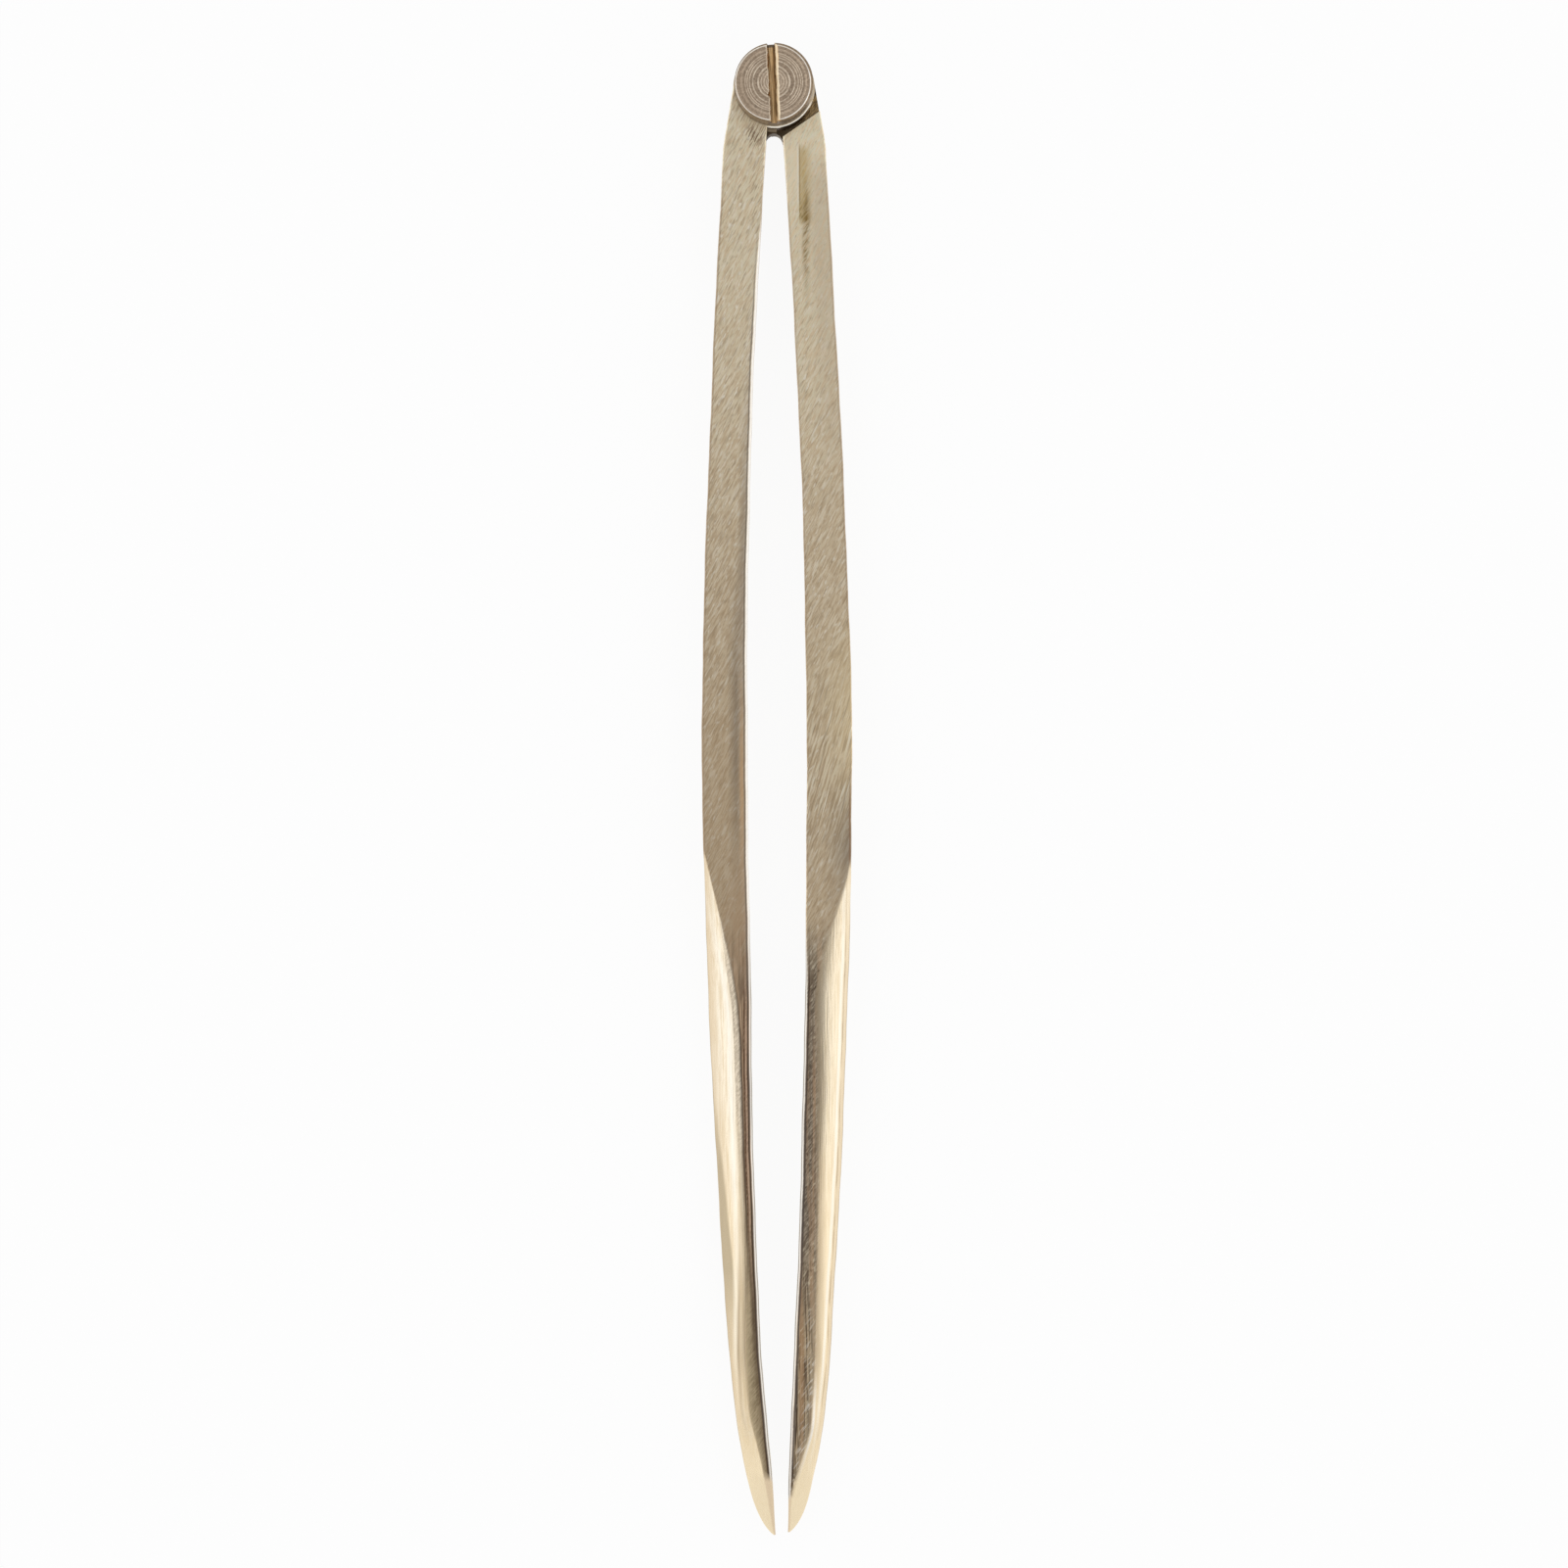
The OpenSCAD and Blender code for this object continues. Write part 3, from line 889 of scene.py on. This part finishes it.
def right_wear(leg, colour):
    """Right leg: a scribed line with a yellow stain beside it, and a yellow then a dark patch low down."""
    down, x, from_outer, steep = leg.down, leg.x, leg.from_outer, leg.steep
    outer_half = product(between(leg.from_inner, 2.0, 3.6), between(down, 8, 12))
    lined = band(down, *SCRIBED_D, 0.4)
    bright_line = band(x, SCRIBED_X - 0.2, SCRIBED_X, 0.05)
    dark_line = band(x, SCRIBED_X + 0.06, SCRIBED_X + 0.2, 0.05)
    spread = maths("ADD", x, between(leg.cloud, 0.0, 1.0, -0.12, 0.12))
    beside = product(between(x, SCRIBED_X, SCRIBED_X + 0.1), between(spread, *STAIN_X, 1.0, 0.0))
    stain = product(beside, band(down, *STAIN_D, 0.5))
    trail = product(band(down, *TRAIL_D, 3.0), band(spread, *TRAIL_X, 0.3))
    smeared = between(leg.crossing["Strokes"], 0.35, 0.62, 0.3, 1.0)
    low = band(down, 77, 97, 5.0)
    edge_line = product(band(from_outer, 0.1, 0.3, 0.08), between(down, 86, 92))
    return coats(
        colour,
        ((0.42, 0.30, 0.18), between(down, 45, 116), 0.35),
        ((0.62, 0.495, 0.355), outer_half, between(down, 24, 60, 0.38, 0.0)),
        (PALE_BRASS, lined, between(x, SCRIBED_X, SCRIBED_X - 0.1), 0.4),
        (YELLOW_STAIN, stain, between(leg.medium["Strokes"], 0.2, 0.8, 1.0, 0.6)),
        (GLINT, bright_line, lined, 0.7),
        ((0.40, 0.285, 0.15), dark_line, lined, 0.7),
        ((0.34, 0.24, 0.09), stain, between(down, 14.2, 15.4), leg.specks["Strokes"]),
        ((0.31, 0.20, 0.07), trail, smeared, between(down, 19, 24, 0.95, 0.6)),
        ((0.96, 0.775, 0.47), band(down, 72, 90, 6.0), between(from_outer, 0.3, 4.0, 1.0, 0.25), 0.5),
        ((1.0, 0.90, 0.68), between(steep["Strokes"], 0.56, 0.8), low, 0.5),
        ((0.36, 0.27, 0.17), between(steep["Strokes"], 0.42, 0.2), low, 0.4),
        ((1.0, 0.92, 0.74), steep["Bright Scores"], low, 0.9),
        ((0.34, 0.265, 0.18), steep["Dark Scores"], low, 0.7),
        ((0.27, 0.225, 0.18), band(down, 92, 103, 5.0), between(from_outer, 0.5, 3.6, 1.0, 0.0), 0.55),
        ((0.34, 0.2, 0.12), edge_line, inverse(leg.blade), 0.8),
    )


def left_wear(leg, colour):
    """Left leg: a dark band and a warm line beside the inner edge, and scuffs under the eye."""
    down, across = leg.down, leg.from_inner
    reddish = product(between(across, 3.8, 0.4), between(down, 96, 106))
    to_scuff = {0: leg.place_mm, 1: SCUFF_PLACE}
    away = add(leg.tree, "VectorMath", to_scuff, operation="DISTANCE").outputs["Value"]
    return coats(
        colour,
        ((0.42, 0.295, 0.175), between(down, 40, 106), 0.56),
        ((0.22, 0.172, 0.134), band(across, 0.95, 2.0, 0.6), band(down, 68, 96, 9.0), 0.6),
        ((0.30, 0.225, 0.16), band(across, 0.3, 1.2, 0.4), band(down, 44, 74, 12.0), 0.5),
        ((0.70, 0.41, 0.18), band(across, 0.45, 0.95, 0.22), band(down, 82, 96, 9.0), 0.8),
        ((0.50, 0.325, 0.20), reddish, between(leg.fine["Strokes"], 0.3, 0.7, 0.25, 0.7)),
        ((0.12, 0.085, 0.06), band(across, 0.3, 0.48, 0.08), between(down, 16, 30), 0.8),
        (BROWN_TARNISH, between(away, 0.5, 1.8, 1.0, 0.0), between(leg.medium["Strokes"], 0.52, 0.35)),
    )


def strip_colour(leg):
    """Strip beside the inner edge of the blade: brown, streaked along, with a dark line at its side."""
    colour = right_strip(leg) if leg.right else left_strip(leg)
    return coats(colour, ((0.07, 0.042, 0.026), band(leg.from_inner, 0.32, 0.54, 0.06), 0.9))


def right_strip(leg):
    """Right leg: mottled, then streaked towards the point, with dirt beside the inner edge."""
    down, streaks = leg.down, leg.along["Strokes"]
    warm_bands = between(leg.bands["Strokes"], 0.5, 0.75)
    glints = product(leg.crossing["Flecks"], between(leg.from_ridge, -1.7, -0.7))
    lower = coats(
        toned(streaks, 0.36, 0.64, RIGHT_LOW_TONES),
        ((0.62, 0.40, 0.225), warm_bands, 0.6),
        ((0.62, 0.51, 0.36), between(leg.from_ridge, -1.3, -0.1), 0.55),
        ((1.0, 0.92, 0.80), glints, between(down, 150, 162), 0.65),
    )
    dark = product(between(leg.from_inner, 0.6, 1.5, 1.0, 0.0), band(down, 118, 152, 8.0))
    point_dirt = product(between(down, 160, 170), band(leg.from_inner, 0.35, 0.75, 0.16))
    return coats(
        toned(leg.crossing["Strokes"], 0.3, 0.7, RIGHT_STRIP_TONES),
        ((0.24, 0.175, 0.12), between(streaks, 0.6, 0.3), 0.7),
        ((0.56, 0.36, 0.215), warm_bands, 0.5),
        (lower, between(down, 146, 160), 0.92),
        (GREASE_AND_SHADE_DARK, leg.bands["Dark Scores"], 0.5),
        (GREASE_AND_SHADE_DARK, leg.specks["Dark Scores"], between(down, 136, 152, 0.8, 0.4)),
        (PALE_BRASS, leg.specks["Bright Scores"], 0.4),
        ((0.11, 0.083, 0.065), dark, 0.32),
        (GREASE_AND_SHADE_DARK, point_dirt, between(streaks, 0.6, 0.4), 0.9),
    )


def left_strip(leg):
    """Left leg: streaked brown with lines left by the file, olive and grained towards the point."""
    down, across = leg.down, leg.from_inner
    olive = between(down, 138, 160)
    grain = toned(leg.crossing["Strokes"], 0.3, 0.7, LEFT_LOW_TONES)
    shadow = product(band(across, 0.5, 0.95, 0.2), band(down, 146, 164, 6.0))
    lines = band(down, 112, 150, 6.0)
    dotted = product(lines, between(leg.specks["Strokes"], 0.3, 0.6, 0.5, 1.0))
    return coats(
        toned(leg.along["Strokes"], 0.3, 0.7, LEFT_STRIP_TONES),
        (DULL_BRASS, leg.along["Bright Scores"], 0.6),
        (GREASE_AND_SHADE_DARK, leg.along["Dark Scores"], 0.5),
        (grain, olive, 0.85),
        ((0.74, 0.60, 0.385), olive, between(leg.from_ridge, -0.9, 0.0), 0.75),
        ((0.20, 0.13, 0.075), olive, between(across, 1.15, 0.45), 0.7),
        ((0.11, 0.075, 0.048), shadow, 0.65),
        ((0.70, 0.48, 0.34), band(across, 0.58, 0.78, 0.05), dotted, 0.85),
        ((0.15, 0.075, 0.04), band(across, 0.82, 1.04, 0.05), dotted, 0.85),
        ((0.1, 0.07, 0.048), band(leg.from_ridge, -0.3, -0.08, 0.06), lines, 0.8),
    )


def polish_colour(leg):
    """Bevels, points and sides: polished along the leg, in cream and tan bands."""
    along = leg.along
    colour = coats(
        toned(along["Strokes"], 0.28, 0.66, BEVEL_TONES),
        (SCORED_TAN, leg.bands["Dark Scores"], 0.3),
        (GLINT, leg.bands["Bright Scores"], 0.75),
        (SCORED_TAN, along["Dark Scores"], 0.25),
        (SCORED_TAN, leg.medium["Ticks"], 0.15),
        ((0.885, 0.69, 0.41), between(leg.down, 128, 150), 0.5),
    )
    drawn = mixed_value(0.5, leg.crossing["Strokes"], along["Strokes"])
    wall = coats(
        toned(drawn, 0.2, 0.8, WALL_TONES),
        ((0.40, 0.30, 0.18), leg.broad, 0.3),
        ((0.80, 0.67, 0.47), along["Bright Scores"], 0.5),
        ((0.30, 0.225, 0.14), along["Dark Scores"], 0.25),
    )
    return coats(
        right_bevel(leg, colour) if leg.right else left_bevel(leg, colour),
        (wall, leg.walls, 0.95),
        ((1.0, 0.845, 0.585), leg.bright_end, 0.75),
        ((0.78, 0.615, 0.425), leg.point, between(leg.from_ridge, 0.1, -0.1), 0.8),
    )


def right_bevel(leg, colour):
    """Right leg: painted shade softly from the ridge, painted highlights on the ridge near the point and
    along the outer edge, and a brown line along the outer edge.
    """
    down, from_ridge, from_outer = leg.down, leg.from_ridge, leg.from_outer
    near_ridge = product(between(from_ridge, 0.0, 1.15, 1.0, 0.0), band(down, 111, 167, 5.0))
    outer = band(down, 104, 170, 8.0)
    line = product(band(from_outer, 0.42, 0.58, 0.08), between(leg.along["Strokes"], 0.2, 0.6))
    return coats(
        colour,
        ((0.97, 0.81, 0.56), 0.42),
        # Painted shade on the bevel beside the ridge
        ((0.34, 0.25, 0.155), near_ridge, 0.8),
        # Painted highlight on the ridge near the point
        ((1.0, 0.97, 0.9), band(from_ridge, 0.0, 0.3, 0.1), band(down, 167, 176, 3.0), 0.9),
        (TAN_BRASS, between(from_outer, 0.25, 0.5, 1.0, 0.0), outer, 0.9),
        ((0.40, 0.29, 0.17), line, outer, 0.85),
        # Painted highlight line along the outer edge
        ((1.0, 0.96, 0.85), band(from_outer, 0.72, 1.0, 0.14), outer, 0.8),
    )


def left_bevel(leg, colour):
    """Left leg: tan outside, a dull second facet across the lower blade, painted highlights on the bevel, and
    painted shade towards the ridge.
    """
    down, from_ridge, from_outer = leg.down, leg.from_ridge, leg.from_outer
    facet_width = between(down, 124, 150, 0.0, 1.35)
    facet = between(maths("SUBTRACT", facet_width, from_outer), -0.15, 0.15)
    brown_width = between(down, 136, 160, 0.75, 1.1)
    near_ridge = between(maths("DIVIDE", from_ridge, brown_width), 0.0, 1.0, 1.0, 0.0)
    return coats(
        colour,
        ((0.70, 0.56, 0.38), between(from_outer, 0.0, 1.6, 1.0, 0.0), between(down, 164, 172, 0.85, 0.0)),
        ((0.50, 0.41, 0.275), facet, band(down, 132, 157, 6.0), 0.9),
        ((0.42, 0.32, 0.20), band(from_ridge, 0.75, 1.1, 0.15), band(down, 150, 168, 6.0), 0.8),
        # Painted highlights on the bevel, the second one low on the blade
        ((1.0, 0.96, 0.86), band(from_ridge, 0.85, 1.5, 0.3), band(down, 108, 146, 8.0), 0.75),
        (GLINT, band(from_ridge, 1.1, 1.5, 0.25), band(down, 148, 164, 5.0), 0.7),
        # Painted shade on the bevel beside the ridge
        ((0.30, 0.235, 0.155), near_ridge, band(down, 132, 167, 6.0), 0.85),
    )


def grey_ridge(leg, colour):
    """A narrow facet, filed across, that lies along the left leg's ridge below the run-out."""
    width = between(leg.down, 103, 113, -0.1, 0.62)
    within = between(maths("SUBTRACT", width, leg.from_ridge), -0.06, 0.06)
    facet = product(within, between(leg.from_ridge, -0.22, -0.06))
    ticks = toned(leg.crossing["Strokes"], 0.3, 0.7, RIDGE_TONES)
    return coats(colour, (ticks, facet, band(leg.down, 108, 134, 5.0), 0.9))


def grease_and_shade_mask(leg):
    """Old grease with painted shade in the lap, and a painted shadow ring round the foot of the screw head.
    """
    radius = from_axis(leg.x, leg.y)
    # Painted shadow: a dark ring on the leg round the foot of the screw head
    head_shadow_ring = product(between(radius, HEAD_R - 0.1, HEAD_R + 0.16, 0.85, 0.0), leg.front)
    arch_line = product(between(leg.lap, 0.3, 0.5), between(radius, EYE_R + 0.4, EYE_R + 0.6))
    patchy = between(leg.cloud, 0.0, 0.8, 1.0, 0.7)
    return product(larger(head_shadow_ring, larger(leg.lap, arch_line)), patchy, inverse(leg.eye_rim))


def leg_brass(side):
    """Filed brass: slanted strokes on the flats, lengthwise polish on the bevels, brown strips beside the
    inner edges, and old grease with painted shade in the joint."""
    material, tree, shader, place = new_material(side + "_leg_filed_brass")
    leg = LegSurface(tree, place, side)
    on_flat = flat_strokes(leg)
    colour = blend(leg.strip, flat_colour(leg, on_flat), strip_colour(leg))
    colour = blend(leg.polished, colour, polish_colour(leg))
    if not leg.right:
        colour = grey_ridge(leg, colour)
    # Painted highlight along the eased inner edge
    edge = product(leg.edge, inverse(leg.point), inverse(leg.inner_side))
    # Painted dark line of shade on the edge facet's outermost strip, low on the blade
    lip = product(edge, between(leg.from_inner, 0.13, 0.07), between(leg.down, 104, 116))
    grease_and_shade = grease_and_shade_mask(leg)
    lap_gold = product(between(leg.x, 1.2, 3.6), between(leg.crossing["Strokes"], 0.25, 0.7))
    # Right part of the eye's round, which gets a painted highlight
    crescent_highlight = product(between(leg.x, -1.2, -0.4), between(leg.y, -1.8, -2.8))
    colour = coats(
        colour,
        ((1.0, 0.96, 0.9), edge, 0.95),
        ((0.27, 0.23, 0.175), lip, 0.85),
        # Dark grease colour in the lap with painted shade, lighter and golden further right
        (blend(lap_gold, GREASE_AND_SHADE_DARK, GOLDEN_LAP), grease_and_shade),
        # Painted shade on the eye's round, then a painted highlight on its right part
        (EYE_RIM_SHADE, leg.eye_rim, 0.6),
        ((1.0, 0.95, 0.85), leg.eye_rim, crescent_highlight, 0.95),
    )
    give(shader.inputs["Base Color"], colour)

    strokes = mixed_value(larger(leg.polished, leg.strip), on_flat, leg.along["Strokes"])
    rough_flat = between(strokes, 0.2, 0.8, 0.45, 0.34)
    rough_polish = between(strokes, 0.2, 0.8, 0.30, 0.20)
    rough = mixed_value(leg.polished, rough_flat, rough_polish)
    give(shader.inputs["Roughness"], larger(rough, product(grease_and_shade, 0.55)))
    give(shader.inputs["Normal"], bumped(strokes))
    return material


RING_STEP = 0.42
FACE_TONES, FACE_LIGHT = ((0.31, 0.235, 0.17), (0.66, 0.515, 0.38)), (1.0, 0.88, 0.71)
# Side and chamfer of the head, darkened as painted shade
HEAD_SIDE_SHADE_TONES = (0.20, 0.145, 0.092), (0.34, 0.245, 0.158)
SLOT_GOLD, SLOT_DARK = (1.0, 0.69, 0.36), (0.80, 0.50, 0.23)
LIP_TONES = (0.60, 0.44, 0.26), (0.95, 0.80, 0.58)


def slot_colours(place, x, y, radius):
    """Golden floor and walls of the sawn slot, with a painted shadow line at the foot of the left wall and
    painted shade at its upper end, and its worn right lip.
    """
    angle = -math.pi / 2 - SLOT_TURN
    saw_marks = group_node(brush_strokes, Vector=place, Angle=angle, Fineness=5000.0, Stretch=22.0)
    over = maths("MULTIPLY", x, math.cos(SLOT_TURN) / MM)
    across = maths("ADD", over, maths("MULTIPLY", y, math.sin(SLOT_TURN) / MM))
    # Painted shade at the slot's upper end, by the rim of the head
    shaded_upper_end = product(between(radius, (HEAD_R - 0.45) * MM, (HEAD_R - 0.3) * MM), between(y, 0.0, MM))
    walls = coats(
        toned(across, -0.25, 0.1, (SLOT_GOLD, SLOT_DARK)),
        ((0.13, 0.065, 0.022), between(saw_marks["Strokes"], 0.45, 0.7), 0.7),
        ((0.22, 0.125, 0.055), band(across, 0.16, 0.3, 0.05), 0.8),
        (GREASE_AND_SHADE_DARK, saw_marks["Dark Scores"], 0.6),
        # Painted shadow line at the foot of the left wall
        (GREASE_AND_SHADE_DARK, band(across, -0.58, -0.5, 0.04), 0.85),
        ((0.16, 0.125, 0.10), shaded_upper_end, 0.85),
    )
    return walls, coats(toned(across, 0.36, 0.46, LIP_TONES), (SLOT_DARK, saw_marks["Ticks"], 0.6))


def turned_brass():
    """Turned screw brass: rings of the lathe tool on the dull face, a rim with a painted highlight, a side
    darkened as painted shade, and a golden sawn slot.
    """
    material, tree, shader, place = new_material("turned_screw_brass")
    sawn, worn_lip, rim = (attribute(tree, name) for name in ("sawn", "worn_lip", "rim"))
    x, y, z = add(tree, "SeparateXYZ", {0: place}).outputs
    radius = from_axis(x, y)
    ring_place = add(tree, "CombineXYZ", {"X": radius, "Y": maths("MULTIPLY", z, 0.5)}).outputs[0]
    drift = maths("MULTIPLY", noise(ring_place, 900.0, 1.0), 2.5)
    turns = maths("ADD", maths("DIVIDE", radius, RING_STEP * MM), drift)
    wave = maths("SINE", maths("MULTIPLY", turns, math.tau))
    cloud = group_node(tarnish, Vector=place, Scale=420.0, Cover=0.35)["Mask"]
    broken = group_node(tarnish, Vector=place, Scale=900.0, Cover=0.42)["Mask"]
    rings = mixed_value(0.5, noise(ring_place, 4200.0, 2.0, 0.7), noise(place, 3600.0, 2.0, 0.7))
    rings = between(rings, 0.38, 0.62)
    bright_rings = product(between(wave, 0.55, 0.9), between(broken, 0.0, 0.6, 0.1, 1.0))
    below_face = between(z, (HEAD_TOP - 0.1) * MM, (HEAD_TOP - 0.06) * MM, 1.0, 0.0)
    slot_walls, lip = slot_colours(place, x, y, radius)
    colour = coats(
        blend(rings, *FACE_TONES),
        (FACE_LIGHT, bright_rings, between(radius, 3.7 * MM, 4.1 * MM, 0.7, 0.1)),
        ((0.36, 0.265, 0.185), cloud, 0.4),
        # Painted shade on the side and chamfer of the head
        (blend(rings, *HEAD_SIDE_SHADE_TONES), below_face, 0.9),
        (slot_walls, sawn),
        (lip, worn_lip),
        # Painted highlight: the rim and the slot's unworn lips near white
        ((1.0, 0.95, 0.86), rim, between(cloud, 0.0, 0.6, 0.95, 0.55)),
    )
    give(shader.inputs["Base Color"], colour)
    rough = between(rings, 0.0, 1.0, 0.46, 0.36)
    give(shader.inputs["Roughness"], maths("SUBTRACT", rough, maths("MULTIPLY", rim, 0.15)))
    on_face = product(inverse(sawn), inverse(rim))
    give(shader.inputs["Normal"], bumped(product(maths("ADD", rings, bright_rings), on_face)))
    return material


def washer_brass():
    """Rolled sheet brass of the thin washer."""
    material, tree, shader, place = new_material("rolled_washer_brass")
    rolled = group_node(brush_strokes, Vector=place, Angle=0.0, Fineness=5000.0, Stretch=20.0)["Strokes"]
    cloud = group_node(tarnish, Vector=place, Scale=300.0, Cover=0.35)["Mask"]
    colour = coats(blend(rolled, DULL_BRASS, MID_BRASS), (BROWN_TARNISH, cloud, 0.5))
    give(shader.inputs["Base Color"], colour)
    give(shader.inputs["Roughness"], between(rolled, 0.0, 1.0, 0.45, 0.3))
    return material


# The object

for side, hole_r in (("left", BORE_R), ("right", TAPPED_R)):
    piece = filed_leg(side, hole_r)
    piece.data.materials.append(leg_brass(side))
    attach(piece, side + "_leg")
    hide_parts(side + "_leg")

screw = pivot_screw()
screw.data.materials.append(turned_brass())
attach(screw, "pivot_screw")
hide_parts("pivot_screw")

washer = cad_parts["friction_washer"]
washer.data.materials.clear()
washer.data.materials.append(washer_brass())

# Stage: a pale floor that looks white to the camera and in reflections, and keeps the shadow

FLOOR_COLOUR, FLOOR_WHITENESS = (0.95, 0.95, 0.95, 1), 0.92
FLOOR_HALF, FLOOR_Z = 3000.0, -0.02


def pale_floor():
    material = bpy.data.materials.new("pale_floor")
    material.use_nodes = True
    tree = material.node_tree
    shader = tree.nodes["Principled BSDF"]
    shader.inputs["Base Color"].default_value = FLOOR_COLOUR
    shader.inputs["Roughness"].default_value = 0.9
    shader.inputs["Specular IOR Level"].default_value = 0.1
    rays = add(tree, "LightPath").outputs
    seen = larger(rays["Is Camera Ray"], larger(rays["Is Glossy Ray"], rays["Is Transmission Ray"]))
    white = add(tree, "Emission", {"Color": (1, 1, 1, 1), "Strength": 1.0}).outputs[0]
    share = product(seen, FLOOR_WHITENESS)
    mix = add(tree, "MixShader", {0: share, 1: shader.outputs[0], 2: white}).outputs[0]
    give(tree.nodes["Material Output"].inputs["Surface"], mix)
    return material


floor = new_piece(
    "floor",
    [(x * FLOOR_HALF, y * FLOOR_HALF, FLOOR_Z) for x, y in ((-1, -1), (1, -1), (1, 1), (-1, 1))],
    [(0, 1, 2, 3)],
)
floor.data.materials.append(pale_floor())

OBJECT_MIDDLE = Vector((0, -LEG_LENGTH / 2 * MM, 0))


def softbox(name, place, size, level):
    """A rectangular soft light aimed at the middle of the object; level is its brightness as seen."""
    lamp = bpy.data.lights.new(name, "AREA")
    lamp.shape = "RECTANGLE"
    lamp.size, lamp.size_y = size
    lamp.energy = level * math.pi * size[0] * size[1]
    stand = bpy.data.objects.new(name, lamp)
    stand.location = place
    stand.rotation_euler = (OBJECT_MIDDLE - Vector(place)).to_track_quat("-Z", "Y").to_euler()
    bpy.context.scene.collection.objects.link(stand)


SOFTBOX_X, SOFTBOX_Y, SOFTBOX_Z = 0.62, -0.09, 0.42
SOFTBOX_SIZE, SOFTBOX_LEVEL = (0.6, 1.0), 0.25
for name, x in (("softbox_left", -SOFTBOX_X), ("softbox_right", SOFTBOX_X)):
    softbox(name, (x, SOFTBOX_Y, SOFTBOX_Z), SOFTBOX_SIZE, SOFTBOX_LEVEL)

# A white light tent: bright sides, darker overhead where the camera looks in
TENT_SIDES, TENT_TOP = 0.85, 0.48
TOP_FROM, TOP_FULL = 0.80, 0.965
world = bpy.data.worlds.new("light_tent")
world.use_nodes = True
bpy.context.scene.world = world
tent = world.node_tree
up = add(tent, "SeparateXYZ", {0: tent.nodes.new("ShaderNodeTexCoord").outputs["Generated"]}).outputs[2]
overhead = add(
    tent,
    "MapRange",
    {"Value": up, "From Min": TOP_FROM, "From Max": TOP_FULL, "To Min": TENT_SIDES, "To Max": TENT_TOP},
    interpolation_type="SMOOTHSTEP",
).outputs[0]
sky = tent.nodes["Background"]
sky.inputs["Color"].default_value = (1, 1, 1, 1)
give(sky.inputs["Strength"], overhead)

# Camera: straight above, with the pivot at the photograph's pixel

PHOTO_SIDE = 1601
PIXELS_PER_MM = 8.0
PIVOT_PIXEL = (790.2, 88.0)
CAMERA_HEIGHT = 510.0
ROLL = math.radians(-0.264)

camera = bpy.data.cameras.new("camera")
camera.sensor_width = 36.0
camera.lens = camera.sensor_width * CAMERA_HEIGHT * PIXELS_PER_MM / PHOTO_SIDE
stand = bpy.data.objects.new("camera", camera)
from_pivot = Vector(
    ((PHOTO_SIDE / 2 - PIVOT_PIXEL[0]) / PIXELS_PER_MM, (PIVOT_PIXEL[1] - PHOTO_SIDE / 2) / PIXELS_PER_MM, 0)
)
from_pivot.rotate(Matrix.Rotation(ROLL, 3, "Z"))
stand.location = (from_pivot + Vector((0, 0, LEG_THICKNESS + CAMERA_HEIGHT))) * MM
stand.rotation_euler = (0, 0, ROLL)
bpy.context.scene.collection.objects.link(stand)
bpy.context.scene.camera = stand

bpy.context.scene.view_settings.view_transform = "Standard"
